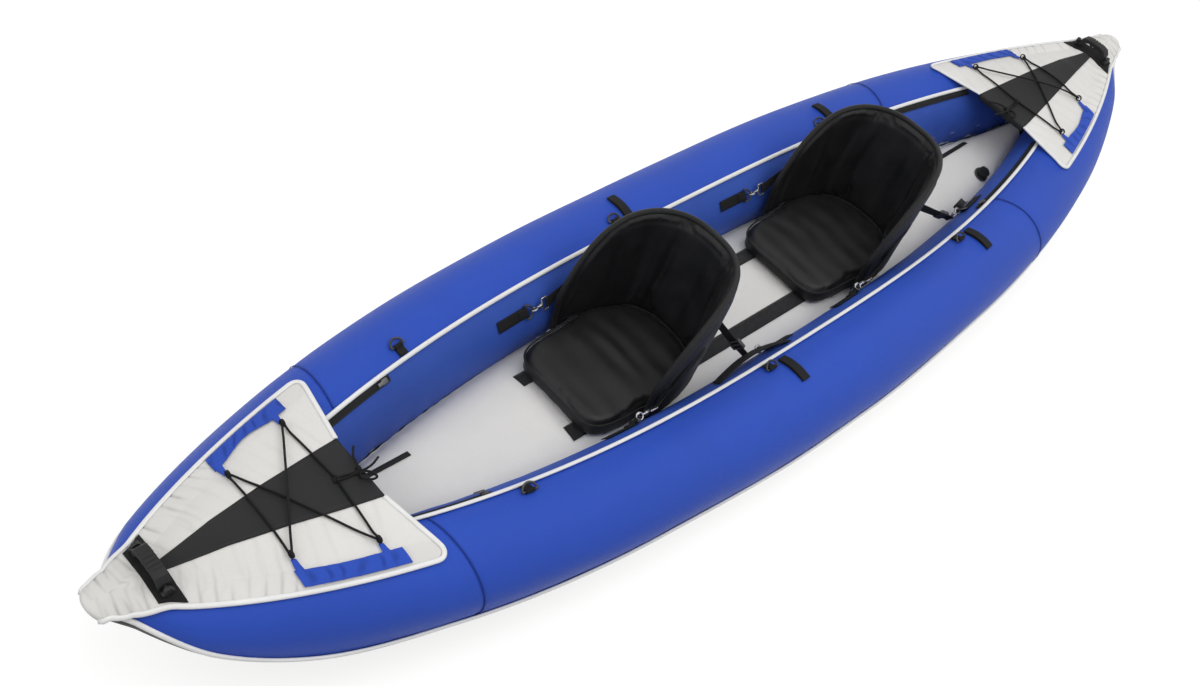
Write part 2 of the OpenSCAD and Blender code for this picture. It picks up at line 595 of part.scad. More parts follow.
module rear_cushion() { color("black") cushion(1); }
wing_s = 0.36 * cushion_len;
back_half = cushion_w / 2 + 7;
function back_low(k) = floor_mid(seat_xs[k] - cushion_len) + cushion_t - 30;
function back_high(a) = 30 + back_h * pow(max(0.0001, 1 - pow(abs(a) / 91, 6)), 0.65);
function back_point(k, a, v, d, e = 0) = let (
    n = 2 / 2.7,
    depth = cushion_len - wing_s + 10,
    z = back_high(a) * v,
    lean = 0.16 * max(0, z - 30) * cos(a),
    flare = 0.05 * max(0, z - 30) * abs(sin(a)),
    soft = 1 - 0.55 * pow(abs(2 * v - 1), 6),
    fold = 1.6 * cos(a * 10) * (d > 0 ? 0 : 1),
    off = e + (d > 0 ? back_t * soft + (back_t - back_t * soft) / 2 : (back_t - back_t * soft) / 2 + fold),
    s = wing_s + (depth + off) * pow(max(0, cos(a)), n) + lean,
    y = sign(a) * (back_half + off + flare) * pow(abs(sin(a)), n)
  ) [seat_xs[k] - s, y, back_low(k) + z];
back_vs = [0, 0.06, 0.18, 0.34, 0.5, 0.66, 0.82, 0.94, 1];
module back_shell(k, angles) {
  sheet(
    [for (a = angles) [for (v = back_vs) back_point(k, a, v, 1)]],
    [for (a = angles) [for (v = back_vs) back_point(k, a, v, 0)]]
  );
}
module backrest(k) {
  back_shell(k, [for (i = [-9 : 9]) wing_split * i / 9]);
}
module wings(k) {
  back_shell(k, [for (i = [0 : 7]) mix(wing_split + 0.15, 89.5, i / 7)]);
  back_shell(k, [for (i = [0 : 7]) mix(-89.5, -wing_split - 0.15, i / 7)]);
}
module front_backrest() { color("black") backrest(0); }
module rear_backrest() { color("black") backrest(1); }
module front_wings() { color("black") wings(0); }
module rear_wings() { color("black") wings(1); }

// Seat straps: fore straps from the wings, aft straps from the backs
function turned(p, ax, ay, az) = let (
    a = [p[0], p[1] * cos(ax) - p[2] * sin(ax), p[1] * sin(ax) + p[2] * cos(ax)],
    b = [a[0] * cos(ay) + a[2] * sin(ay), a[1], -a[0] * sin(ay) + a[2] * cos(ay)])
  [b[0] * cos(az) - b[1] * sin(az), b[0] * sin(az) + b[1] * cos(az), b[2]];
function strap_start(x, a, dir, bar = false) = let (
    ahead = tube(x + 5, a, 0),
    back = tube(x - 5, a, 0),
    yaw = atan2(ahead[1] - back[1], 10),
    pitch = atan2(ahead[2] - back[2], 10),
    reach = ring_w / 2 + ring_r,
    apex = [reach * cos(ring_tilt), 0, reach * sin(ring_tilt)] + [anchor_len / 2 + 4, 0, anchor_h],
    tip = apex + turned([hook_r - 2.5 - ring_r + hook_r + 34, 0, 0], 0, -hook_tilt, 0),
    local = turned(bar ? [0, 1, 0] : tip, 0, 0, dir > 0 ? 0 : 180))
  (bar ? [0, 0, 0] : tube(x, a, 0)) + turned(turned(local, a - 90, 0, 0), 0, -pitch, yaw);
module strap_bar(x, a, dir) {
  hook_at(x, a, dir) translate([hook_r + 34, 0, 0]) rotate([90, 0, 0]) children();
}
function same_way(b, w) = b * w < 0 ? -b : b;
// Webbing that turns from the hook bar's direction b at p to the direction w at q
web_t = 1.8;
function web_rows(p, q, b, w, o) = [for (t = [0, 0.25, 0.5, 0.75, 1]) let (
    c = mix(p, q, t),
    across = unit(mix(b, w, t)),
    out = unit(cross(across, q - p)))
  [for (j = [-0.5, 0.5]) c + j * (strap_w - 3) * across + o * out]];
// One strap: sleeve round the hook bar, free webbing and the end sewn on the seat
module strap(k, x, a, dir, a0, a1, v0, v1) {
  p = strap_start(x, a, dir);
  bar = strap_start(x, a, dir, true);
  low = back_point(k, (a0 + a1) / 2, v0, 1, 1.5);
  top = back_point(k, (a0 + a1) / 2, v1, 1, 1.5);
  b = same_way(bar, top - low);
  difference() {
    union() {
      strap_bar(x, a, dir) cylinder(r = 4.4, h = strap_w - 2, center = true);
      sheet(web_rows(p, mix(low, top, 0.5), b, unit(top - low), web_t / 2),
        web_rows(p, mix(low, top, 0.5), b, unit(top - low), -web_t / 2));
      sheet([for (i = [0 : 3]) [for (v = [v0, v1]) back_point(k, mix(a0, a1, i / 3), v, 1, 0.6 + web_t)]],
        [for (i = [0 : 3]) [for (v = [v0, v1]) back_point(k, mix(a0, a1, i / 3), v, 1, 0.6)]]);
    }
    strap_bar(x, a, dir) cylinder(r = 2.7, h = 2 * strap_w, center = true);
  }
}
module fore_straps(k) {
  both_sides() strap(k, seat_xs[k] - fore_anchor_s, fore_angle, -1, 70, 82, 0.56, 0.68);
}
aft_as = [29, 40];
aft_vs = [0.46, 0.54];
function aft_x(k) = seat_xs[k] - aft_anchor_s[k];
module aft_straps(k) {
  both_sides() strap(k, aft_x(k), aft_angle, 1, aft_as[0], aft_as[1], aft_vs[0], aft_vs[1]);
}
module front_seat_straps() { color("black") fore_straps(0); }
module rear_seat_straps() { color("black") fore_straps(1); }
module front_back_straps() { color("black") aft_straps(0); }
module rear_back_straps() { color("black") aft_straps(1); }
module buckle() {
  difference() {
    translate([-14, -4.5, -strap_w / 2 - 4]) cube([28, 9, strap_w + 8]);
    translate([-20, -2.2, -strap_w / 2 - 0.6]) cube([40, 4.4, strap_w + 1.2]);
    for (x = [-6, 6]) translate([x - 3, -10, -strap_w / 2 + 1]) cube([6, 20, strap_w - 2]);
  }
}
module strap_buckles() {
  color("dimgray") both_sides() for (k = [0, 1]) {
    p = strap_start(aft_x(k), aft_angle, 1);
    low = back_point(k, (aft_as[0] + aft_as[1]) / 2, aft_vs[0], 1, 1.5);
    top = back_point(k, (aft_as[0] + aft_as[1]) / 2, aft_vs[1], 1, 1.5);
    q = mix(low, top, 0.5);
    t = 42 / norm(q - p);
    ahead = unit(q - p);
    lean = mix(same_way(strap_start(aft_x(k), aft_angle, 1, true), top - low), unit(top - low), t);
    out = unit(cross(lean, ahead));
    across = cross(ahead, out);
    c = mix(p, q, t);
    multmatrix([for (i = [0 : 2]) [ahead[i], out[i], across[i], c[i]]]) buckle();
  }
}

// Every piece, or the one that is asked for
hull_bottom();
port_side_panel();
starboard_side_panel();
port_inner_panel();
starboard_inner_panel();
port_air_chamber();
starboard_air_chamber();
floor_air_chamber();
floor_cover();
gunwale_piping();
chine_piping();
bow_deck();
stern_deck();
deck_center_panels();
deck_edge_piping();
bungee_gussets();
bungee_loops();
bow_bungee();
stern_bungee();
handle_bands();
handle_lugs();
bow_grip();
stern_grip();
ring_tabs();
paddle_straps();
port_bow_ring();
port_mid_ring();
port_stern_ring();
starboard_bow_ring();
starboard_mid_ring();
starboard_stern_ring();
side_carry_straps();
anchor_patches();
anchor_rings();
strap_hooks();
seat_grip_strips();
side_zips();
floor_zips();
port_bow_slider();
starboard_bow_slider();
port_stern_slider();
starboard_stern_slider();
valve_bodies();
floor_valve_cap();
port_valve_cap();
starboard_valve_cap();
tow_loop();
front_cushion();
rear_cushion();
front_backrest();
rear_backrest();
front_wings();
rear_wings();
front_seat_straps();
rear_seat_straps();
front_back_straps();
rear_back_straps();
strap_buckles();
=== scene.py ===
import math
from math import acos, atan2, copysign, cos, exp, pi, radians, sin, sqrt
import bmesh
import bpy
from mathutils import Matrix, Vector, noise


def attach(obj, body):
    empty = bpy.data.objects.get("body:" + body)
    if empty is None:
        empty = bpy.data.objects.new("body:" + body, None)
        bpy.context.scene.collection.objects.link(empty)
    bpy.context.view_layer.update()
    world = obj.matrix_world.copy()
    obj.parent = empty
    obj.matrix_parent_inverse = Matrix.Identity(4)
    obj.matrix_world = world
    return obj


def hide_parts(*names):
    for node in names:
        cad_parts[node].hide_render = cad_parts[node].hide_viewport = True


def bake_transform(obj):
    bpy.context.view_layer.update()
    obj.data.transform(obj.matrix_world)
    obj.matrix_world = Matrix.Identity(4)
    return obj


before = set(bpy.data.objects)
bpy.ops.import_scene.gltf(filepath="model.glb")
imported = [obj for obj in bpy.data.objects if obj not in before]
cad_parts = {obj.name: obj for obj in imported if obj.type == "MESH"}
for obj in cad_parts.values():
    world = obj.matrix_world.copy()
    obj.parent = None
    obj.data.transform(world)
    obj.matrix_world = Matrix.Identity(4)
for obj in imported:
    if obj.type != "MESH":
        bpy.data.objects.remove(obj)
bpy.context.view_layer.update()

# Camera, floor and light
# The boat is seen from above its port bow with the horizon tipped, as in the photograph.
# The floor is plain white and keeps the soft shadow of the boat.
CAMERA_PLACE = Vector((2.12263, 1.15310, 2.48867))
AZIMUTH = radians(124.82)
ELEVATION = radians(47.89)
ROLL = radians(17.62)
LENS = 39.87
SENSOR = 36
UP = Vector((0, 0, 1))
backward = Vector((sin(AZIMUTH) * cos(ELEVATION), -cos(AZIMUTH) * cos(ELEVATION), sin(ELEVATION)))
level_right = (-backward).cross(UP).normalized()
level_up = level_right.cross(-backward)
right = cos(ROLL) * level_right + sin(ROLL) * level_up
up = cos(ROLL) * level_up - sin(ROLL) * level_right
camera_data = bpy.data.cameras.new("camera")
camera_data.sensor_width = SENSOR
camera_data.sensor_fit = "HORIZONTAL"
camera_data.lens = LENS
camera = bpy.data.objects.new("camera", camera_data)
turn = Matrix((right, up, backward)).transposed().to_4x4()
camera.matrix_world = Matrix.Translation(CAMERA_PLACE) @ turn
bpy.context.scene.collection.objects.link(camera)
bpy.context.scene.camera = camera
bpy.context.scene.view_settings.view_transform = "Standard"


def set_inputs(tree, node, inputs):
    for socket, value in inputs.items():
        if isinstance(value, bpy.types.NodeSocket):
            tree.links.new(value, node.inputs[socket])
        else:
            node.inputs[socket].default_value = value


def add_node(tree, kind, inputs, **settings):
    node = tree.nodes.new("ShaderNode" + kind)
    for key, value in settings.items():
        setattr(node, key, value)
    set_inputs(tree, node, inputs)
    return node.outputs


def seen_directly(tree):
    rays = add_node(tree, "LightPath", {})
    seen = rays["Is Camera Ray"]
    for name in ("Is Glossy Ray", "Is Transmission Ray"):
        seen = add_node(tree, "Math", {0: seen, 1: rays[name]}, operation="MAXIMUM")[0]
    return seen


def keep_piece(name, made):
    data = bpy.data.meshes.new(name)
    made.to_mesh(data)
    made.free()
    piece = bpy.data.objects.new(name, data)
    bpy.context.scene.collection.objects.link(piece)
    return piece


FLOOR_SHADE = (0.34, 0.343, 0.35, 1)
FLOOR_GLOW = (0.76, 0.757, 0.75, 1)
FLOOR_REACH = 40
floor_look = bpy.data.materials.new("studio_floor")
floor_look.use_nodes = True
tree = floor_look.node_tree
tree.nodes.clear()
matte = add_node(tree, "BsdfDiffuse", {"Color": FLOOR_SHADE})
glow = add_node(tree, "Emission", {"Color": FLOOR_GLOW, "Strength": seen_directly(tree)})
lit = add_node(tree, "AddShader", {0: matte[0], 1: glow[0]})
add_node(tree, "OutputMaterial", {"Surface": lit[0]})
floor_mesh = bmesh.new()
bmesh.ops.create_grid(floor_mesh, x_segments=1, y_segments=1, size=FLOOR_REACH)
studio_floor = keep_piece("studio_floor", floor_mesh)
studio_floor.data.materials.append(floor_look)

AMBIENT = 0.62
world = bpy.data.worlds.new("studio")
world.use_nodes = True
bpy.context.scene.world = world
tree = world.node_tree
tree.nodes.clear()
strength = add_node(tree, "MapRange", {0: seen_directly(tree), 3: AMBIENT, 4: 1.0})
sky = add_node(tree, "Background", {"Color": (1, 1, 1, 1), "Strength": strength[0]})
add_node(tree, "OutputWorld", {"Surface": sky[0]})
LAMPS = [("key_lamp", (-0.6, 1.6, 4.6), 5.0, 118), ("bow_lamp", (3.6, -1.0, 3.4), 3.0, 34)]
LAMP_AIM = Vector((0, 0, 0.1))
for lamp_name, place, size, power in LAMPS:
    lamp_data = bpy.data.lights.new(lamp_name, "AREA")
    lamp_data.size = size
    lamp_data.energy = power
    lamp = bpy.data.objects.new(lamp_name, lamp_data)
    lamp.location = place
    lamp.rotation_euler = (LAMP_AIM - lamp.location).to_track_quat("-Z", "Y").to_euler()
    bpy.context.scene.collection.objects.link(lamp)

# Side covers
# Blue coated fabric, one long outer panel and one inner wall panel on each side tube.
# The panels are sewn at the top piping and at the chine, with cross seams near bow and stern.
HALF = 1.7
TIP = 1.68
WALL_END = 1.292
TUBE_SPREAD = 0.3135
TUBE_RADIUS = 0.1285
SIDE_HEIGHT = 0.257
TOP_SEAM = 119.4
FLOOR_SEAM = 205
WALL_SEAM = 255
SEAM_GAP = 0.35


def clamp(value, low, top):
    return max(low, min(top, value))


def mix(a, b, t):
    return a + (b - a) * t


def bell(distance, width):
    return exp(-(distance / width) ** 2)


def ease(t):
    held = clamp(t, 0, 1)
    return held * held * (3 - 2 * held)


def waver(x, y, z):
    return noise.noise(Vector((x, y, z)))


def share_along(x):
    return min(1.0, abs(x) / HALF)


def spread(x):
    return max(0.0, TUBE_SPREAD * (1 - (share_along(x) / 0.965) ** 2.8))


def nose_share(x):
    return ease((abs(x) - 1.5) / 0.14)


def wide(x):
    fullness = max(1e-6, 1 - share_along(x) ** 12) ** 0.5
    return TUBE_RADIUS * fullness * (1 - 0.45 * ease((abs(x) - 1.54) / 0.18))


def sheer(x):
    tip_rise = 0.026 if x < 0 else 0.006
    return SIDE_HEIGHT + 0.075 * share_along(x) ** 2.3 + tip_rise * share_along(x) ** 5


def keel(x):
    past = max(0.0, (abs(x) - 0.45) / 1.25)
    return 0.075 * past ** 2 + 0.255 * past ** 7 + (0.0234 * past ** 5 if x < 0 else 0.0)


def middle(x):
    return (sheer(x) + keel(x)) / 2


def high(x):
    return (sheer(x) - keel(x)) / 2 * max(1e-6, 1 - share_along(x) ** 40) ** 0.4


def tuck(x, degrees):
    turned = degrees - 360 if degrees > 270 else degrees
    if turned > 30:
        return 0.0
    lengthwise = ease((abs(x) - 0.1) / 0.5) * (1 - ease((abs(x) - 1.1) / 0.3))
    return 0.018 * lengthwise * sin(radians(1.5 * (30 - turned))) ** 2


def tube(x, degrees, inward=0.0, side=1):
    angle = radians(degrees)
    y = spread(x) + (wide(x) - inward) * cos(angle) - tuck(x, degrees)
    return Vector((x, side * y, middle(x) + (high(x) - inward) * sin(angle)))


def upper_angle(x):
    return min(TOP_SEAM, math.degrees(acos(clamp((0.006 - spread(x)) / wide(x), -1, 1))))


def lower_angle(x):
    return -19 + 9 * ease((abs(x) - 0.1) / 0.5) + 46 * clamp((abs(x) - 1.3005) / 0.3638, 0, 1) ** 6


def along(t, end):
    return end * (0.55 * t + 0.45 * sin(pi / 2 * t))


def cloth_grid(name, columns, rows, place, flat, outward=None, round_section=False, crease=None):
    made = bmesh.new()
    bmesh.ops.create_grid(made, x_segments=columns, y_segments=rows, size=0.5)
    cloth = made.loops.layers.uv.new("cloth")
    spots = {vert.index: (vert.co.x + 0.5, vert.co.y + 0.5) for vert in made.verts}
    for face in made.faces:
        face.smooth = True
        for loop in face.loops:
            u, v = spots[loop.vert.index]
            loop[cloth].uv = (u * flat[0], v * flat[1])
    # The crease layer holds how deep each fold is; the cloth looks darken their colour with it as painted
    # shade.
    if crease:
        depth = made.verts.layers.float.new("crease")
        for vert in made.verts:
            vert[depth] = crease(*spots[vert.index])
    for vert in made.verts:
        vert.co = place(*spots[vert.index])
    if round_section:
        bmesh.ops.remove_doubles(made, verts=made.verts, dist=1e-6)
        bmesh.ops.holes_fill(made, edges=[edge for edge in made.edges if edge.is_boundary], sides=0)
        bmesh.ops.recalc_face_normals(made, faces=made.faces)
    if outward is not None:
        made.normal_update()
        facing = sum(face.normal.dot(outward) * face.calc_area() for face in made.faces)
        if facing < 0:
            bmesh.ops.reverse_faces(made, faces=made.faces)
    return keep_piece(name, made)


def dress(piece, look, slot, body, *nodes):
    piece.data.materials.clear()
    piece.data.materials.append(look)
    if body:
        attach(piece, body)
    if nodes:
        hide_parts(*nodes)


def new_group(name, inputs, outputs):
    group = bpy.data.node_groups.new(name, "ShaderNodeTree")
    for socket, kind in inputs:
        group.interface.new_socket(socket, in_out="INPUT", socket_type="NodeSocket" + kind)
    for socket, kind in outputs:
        group.interface.new_socket(socket, in_out="OUTPUT", socket_type="NodeSocket" + kind)
    return group, group.nodes.new("NodeGroupInput").outputs, group.nodes.new("NodeGroupOutput")


CLOTH_INPUTS = [("Surface", "Vector"), ("Place", "Vector"), ("Tone", "Color"), ("Deep", "Color"),
                ("Threads", "Float"), ("Mottle", "Float"), ("Rough", "Float")]
GRAIN_OUTPUTS = [("Colour", "Color"), ("Roughness", "Float"), ("Height", "Float")]
group, given, result = new_group("cloth_grain", CLOTH_INPUTS, GRAIN_OUTPUTS)
cloth_grain = group
threads = add_node(group, "VectorMath", {0: given["Surface"], "Scale": given["Threads"]}, operation="SCALE")
parts = add_node(group, "SeparateXYZ", {0: threads[0]})
warp = add_node(group, "Math", {0: parts[0]}, operation="SINE")
weft = add_node(group, "Math", {0: parts[1]}, operation="SINE")
weave = add_node(group, "Math", {0: warp[0], 1: weft[0]}, operation="MULTIPLY")
patch_inputs = {"Vector": given["Place"], "Scale": given["Mottle"], "Roughness": 0.6, "Detail": 4}
patches = add_node(group, "TexNoise", patch_inputs)
specks = add_node(group, "TexNoise", {"Vector": given["Place"], "Scale": 420.0, "Detail": 2})
shade = add_node(group, "MapRange", {0: patches[0], 1: 0.32, 2: 0.68})
tint = add_node(group, "Mix", {0: shade[0], 6: given["Deep"], 7: given["Tone"]}, data_type="RGBA")
fleck = add_node(group, "MapRange", {0: specks[0], 1: 0.3, 2: 0.7, 3: 0.97, 4: 1.02})
speckled = add_node(group, "VectorMath", {0: tint[2], 1: fleck[0]}, operation="MULTIPLY")
rub = add_node(group, "MapRange", {0: patches[0], 1: 0.3, 2: 0.7, 3: -0.06, 4: 0.06})
rough = add_node(group, "Math", {0: given["Rough"], 1: rub[0]}, operation="ADD")
nap = add_node(group, "Math", {0: specks[0], 1: weave[0]}, operation="ADD")
set_inputs(group, result, {"Colour": speckled[0], "Roughness": rough[0], "Height": nap[0]})


def new_look(name):
    look = bpy.data.materials.new(name)
    look.use_nodes = True
    return look, look.node_tree, look.node_tree.nodes["Principled BSDF"]


CREASE_SHADE = 0.72
NAP_HEIGHT = 0.0004


def cloth_look(name, tone, deep, threads, mottle, rough, bump, specular=0.3, sheen=0.0):
    look, tree, shader = new_look(name)
    where = add_node(tree, "TexCoord", {})
    grain = add_node(tree, "Group", {
        "Surface": where["UV"], "Place": where["Object"], "Tone": (*tone, 1), "Deep": (*deep, 1),
        "Threads": threads, "Mottle": mottle, "Rough": rough,
    }, node_tree=cloth_grain)
    relief = add_node(tree, "Bump", {"Height": grain["Height"], "Distance": NAP_HEIGHT, "Strength": bump})
    # The crease attribute darkens the base colour down to CREASE_SHADE along the folds: painted shade in the
    # fold hollows.
    creases = add_node(tree, "Attribute", {}, attribute_name="crease")
    painted_fold_shade = add_node(tree, "MapRange", {0: creases["Fac"], 3: 1.0, 4: CREASE_SHADE})
    shaded = add_node(tree, "VectorMath", {0: grain["Colour"], 1: painted_fold_shade[0]}, operation="MULTIPLY")
    set_inputs(tree, shader, {
        "Base Color": shaded[0], "Roughness": grain["Roughness"], "Normal": relief[0],
        "Specular IOR Level": specular, "Sheen Weight": sheen, "Sheen Roughness": 0.4,
    })
    return look


CROSS_SEAMS = [(1.07, 0.010), (-0.85, 0.028)]


def cover_sag(x, degrees):
    sag = 0.0010 * (1 + waver(x * 4.0, degrees * 0.025, 0.3))
    for seam_x, slant in CROSS_SEAMS:
        away = x - seam_x + slant * cos(radians(degrees))
        pucker = 1 + sin(degrees * 0.9 + 3 * waver(degrees * 0.1, seam_x, 0))
        sag += 0.0022 * bell(away, 0.0045) + 0.0005 * pucker * bell(away, 0.035)
    edge = min(abs(degrees - TOP_SEAM), abs(degrees - lower_angle(x)))
    ripple = 1 + waver(x * 38, degrees * 0.03, 4.0)
    return sag + 0.0007 * ripple * bell(edge, 9)


def wall_sag(x, degrees):
    sag = 0.0012 * (1 + waver(x * 5.0, degrees * 0.02, 7.0))
    gather = 0.5 + 0.5 * sin(x * 185 + 2.4 * waver(x * 9, 0, 0))
    folds = 0.5 + 0.5 * sin(x * 78 + 3.0 * waver(x * 5, 2, 0))
    near_deck = clamp((abs(x) - 0.72) / 0.3, 0, 1)
    low = bell(max(0, FLOOR_SEAM - degrees), 15)
    tall = bell(max(0, FLOOR_SEAM - degrees), 46)
    return sag + 0.0022 * gather * low * (0.35 + 0.65 * near_deck) + 0.0045 * folds * tall * near_deck


COVER_COLUMNS = 420
COVER_ROWS = 46
blue_cover = cloth_look("blue_cover", (0.021, 0.076, 0.480), (0.017, 0.066, 0.430),
                        5200, 3.0, 0.46, 0.35, 0.22)
blue_wall = cloth_look("blue_wall", (0.032, 0.088, 0.425), (0.026, 0.074, 0.365), 5200, 4.0, 0.52, 0.4, 0.25)
for side, side_name in ((1, "port"), (-1, "starboard")):
    def outer_place(u, v, side=side):
        x = along(2 * u - 1, TIP)
        degrees = mix(lower_angle(x) + SEAM_GAP * (1 + 3 * nose_share(x)), upper_angle(x), v)
        return tube(x, degrees, cover_sag(x, degrees), side)

    def wall_place(u, v, side=side):
        x = along(2 * u - 1, WALL_END)
        degrees = mix(upper_angle(x) + SEAM_GAP, WALL_SEAM, v)
        return tube(x, degrees, wall_sag(x, degrees), side)

    outer_panel = cloth_grid(side_name + "_outer_panel", COVER_COLUMNS, COVER_ROWS, outer_place,
                             (3.5, 0.4), Vector((0, side, 0)))
    dress(outer_panel, blue_cover, "blue_cover", "hull", side_name + "_side_panel")
    wall_panel = cloth_grid(side_name + "_wall_panel", COVER_COLUMNS, COVER_ROWS, wall_place,
                            (2.6, 0.31), Vector((0, -side, 0)))
    dress(wall_panel, blue_wall, "blue_cover", "hull", side_name + "_inner_panel")

# Bottom
# Heavy dark vinyl under the boat, flat along the middle and turned up to the chine seams.
# It closes round both noses under the deck binding.
hull_vinyl = cloth_look("hull_vinyl", (0.030, 0.032, 0.036), (0.022, 0.024, 0.028), 3600, 5.0, 0.55, 0.5, 0.4)
KEEL_SEAM = 0.0005


def bottom_place(u, v):
    x = along(2 * u - 1, TIP)
    across = 2 * v - 1
    side = 1 if across >= 0 else -1
    if abs(across) <= 0.5:
        return Vector((x, 2 * across * max(spread(x), KEEL_SEAM), middle(x) - high(x)))
    point = tube(x, mix(-90, lower_angle(x), 2 * abs(across) - 1), 0.0, side)
    point.y += side * KEEL_SEAM if spread(x) == 0 else 0
    return point


hull_bottom = cloth_grid("hull_bottom_skin", 220, 72, bottom_place, (3.5, 0.9), -UP)
dress(hull_bottom, hull_vinyl, "hull_vinyl", "hull", "hull_bottom")

# Floor
# Light grey coated fabric over the inflated floor, sewn to both inner walls.
# The pressure crowns it, and the fabric gathers into short puckers along the two seams.
grey_fabric = cloth_look("grey_fabric", (0.79, 0.775, 0.75), (0.73, 0.715, 0.69), 4200, 3.5, 0.6, 0.45, 0.3)
FLOOR_HEIGHT = 0.115
FLOOR_GAP = 0.0006
FLOOR_LAP = 0.003


def floor_half(x):
    return spread(x) + wide(x) * cos(radians(FLOOR_SEAM)) - FLOOR_GAP


def floor_z(x, y):
    side_z = middle(x) + high(x) * sin(radians(FLOOR_SEAM))
    crown_z = keel(x) + FLOOR_HEIGHT
    return mix(side_z, crown_z, 1 - min(1.0, abs(y) / floor_half(x)) ** 3)


def floor_place(u, v):
    x = along(2 * u - 1, WALL_END)
    share = 2 * v - 1
    y = share * (floor_half(x) + FLOOR_LAP)
    gather = 0.5 + 0.5 * sin(x * 170 + 2.6 * waver(x * 8, share, 0))
    near_deck = clamp((abs(x) - 0.6) / 0.35, 0, 1)
    sag = 0.0030 * gather * bell(1 - abs(share), 0.16) * (0.3 + 0.7 * near_deck)
    sag += 0.0011 * (1 + waver(x * 6, y * 9, 1.0))
    return Vector((x, y, floor_z(x, y) - sag))


floor_skin = cloth_grid("floor_skin", 420, 70, floor_place, (2.6, 0.42), UP)
dress(floor_skin, grey_fabric, "grey_fabric", "hull", "floor_cover")

# Piping along the covers
# White vinyl piping with a filler cord, sewn into the top seam of each tube and into each chine.
# It stands as an oval bead about 11 mm wide. A narrow darker blue strip laid in each cross seam groove is
# painted shade along the seam.
white_piping = cloth_look("white_piping", (0.83, 0.83, 0.82), (0.76, 0.76, 0.75), 3000, 9.0, 0.42, 0.3, 0.4)


def smooth_path(points, steps):
    path = []
    for i in range(len(points) - 1):
        before = points[max(i - 1, 0)]
        after = points[min(i + 2, len(points) - 1)]
        for k in range(steps):
            t = k / steps
            path.append(0.5 * (
                2 * points[i] + (points[i + 1] - before) * t
                + (2 * before - 5 * points[i] + 4 * points[i + 1] - after) * t ** 2
                + (3 * points[i] - before - 3 * points[i + 1] + after) * t ** 3
            ))
    path.append(points[-1].copy())
    return path


def path_length(path):
    return sum((b - a).length for a, b in zip(path, path[1:]))


def bead(name, path, ups, half_width, half_height, sides=10):
    count = len(path) - 1

    def place(u, v):
        i = round(u * count)
        ahead = (path[min(i + 1, count)] - path[max(i - 1, 0)]).normalized()
        across = ahead.cross(ups[i]).normalized()
        lift = across.cross(ahead)
        turn = 2 * pi * (v if v < 0.9999 else 0)
        return path[i] + across * (half_width * cos(turn)) + lift * (half_height * sin(turn))

    return cloth_grid(name, count, sides, place, (path_length(path), 2 * pi * half_width), round_section=True)


def joined(name, pieces):
    with bpy.context.temp_override(active_object=pieces[0], selected_editable_objects=pieces):
        bpy.ops.object.join()
    pieces[0].name = name
    pieces[0].data.name = name
    return pieces[0]


BEAD_WIDTH = 0.0054
BEAD_HEIGHT = 0.0036


def tube_bead(name, spots, lift, side, half_width, half_height, sides=10):
    path = [tube(x, degrees, -lift, side) for x, degrees in spots]
    ups = [tube(x, degrees, -lift - 0.02, side) - point for (x, degrees), point in zip(spots, path)]
    return bead(name, path, ups, half_width, half_height, sides)


def seam_beads(name, end, angle_at, lift):
    xs = [along(2 * i / 220 - 1, end) for i in range(221)]
    spots = [(x, angle_at(x)) for x in xs]
    return joined(name, [tube_bead("bead", spots, lift, side, BEAD_WIDTH, BEAD_HEIGHT) for side in (1, -1)])


top_piping = seam_beads("top_piping", 1.52, upper_angle, 0.0032)
dress(top_piping, white_piping, "white_piping", "hull", "gunwale_piping")
low_piping = seam_beads("low_piping", 1.655, lower_angle, 0.0030)
dress(low_piping, white_piping, "white_piping", "hull", "chine_piping")

# Darker blue strips sunk into the cross seam grooves: painted shade along the seams.
SEAM_SHADE_SINK = 0.0004
SEAM_SHADE_MARGIN = 3
painted_seam_shade = cloth_look("painted_seam_shade", (0.010, 0.038, 0.28), (0.008, 0.032, 0.24), 5200, 3.0, 0.5, 0.4, 0.2)
painted_seam_shade_strips = []
for side in (1, -1):
    for seam_x, slant in CROSS_SEAMS:
        low = lower_angle(seam_x) + SEAM_SHADE_MARGIN
        angles = [mix(low, TOP_SEAM - SEAM_SHADE_MARGIN, i / 60) for i in range(61)]
        spots = [(seam_x - slant * cos(radians(degrees)), degrees) for degrees in angles]
        painted_seam_shade_strips.append(tube_bead("tape", spots, -SEAM_SHADE_SINK, side, 0.0020, 0.0009, 8))
cover_seams = joined("cover_seams", painted_seam_shade_strips)
dress(cover_seams, painted_seam_shade, "blue_cover", "hull")

# Decks
# Light grey fabric stretched over the tube tops and the crown between them, cut hollow at the cockpit.
# It wraps the nose, and the tension draws fine wrinkles from the edges and from the handle band.
DECK_X = 1.1
DECK_TOP = 0.0024
CORNER_SHARE = 0.27
CORNER_RADIUS = 0.022
EDGE_CUT = 0.030
PANEL_HALF = 0.082
RAIL_LEAST = 0.0015


def deck_angle(x):
    straight = 72 - 6 * clamp((abs(x) - DECK_X) / 0.6, 0, 1)
    return straight - 30 * ease((abs(x) - 1.57) / 0.1) - 100 * clamp((abs(x) - 1.67) / 0.03, 0, 1) ** 2


def crown(x):
    return 0.022 * clamp((abs(x) - DECK_X) / 0.22, 0, 1) * clamp((HALF - abs(x)) / 0.26, 0, 1) ** 2


def nose_gap(x):
    return 0.008 * clamp((abs(x) - 1.55) / 0.1, 0, 1)


def rail(x):
    return max(RAIL_LEAST, spread(x))


def nose_round(x):
    return sqrt(max(0.0, 1 - clamp((abs(x) - 1.680) / 0.020, 0, 1) ** 2))


def deck_arc(x, side, degrees, out):
    angle = radians(degrees)
    y = rail(x) + (wide(x) + out) * cos(angle)
    return Vector((x, side * y, middle(x) + (high(x) + out) * sin(angle)))


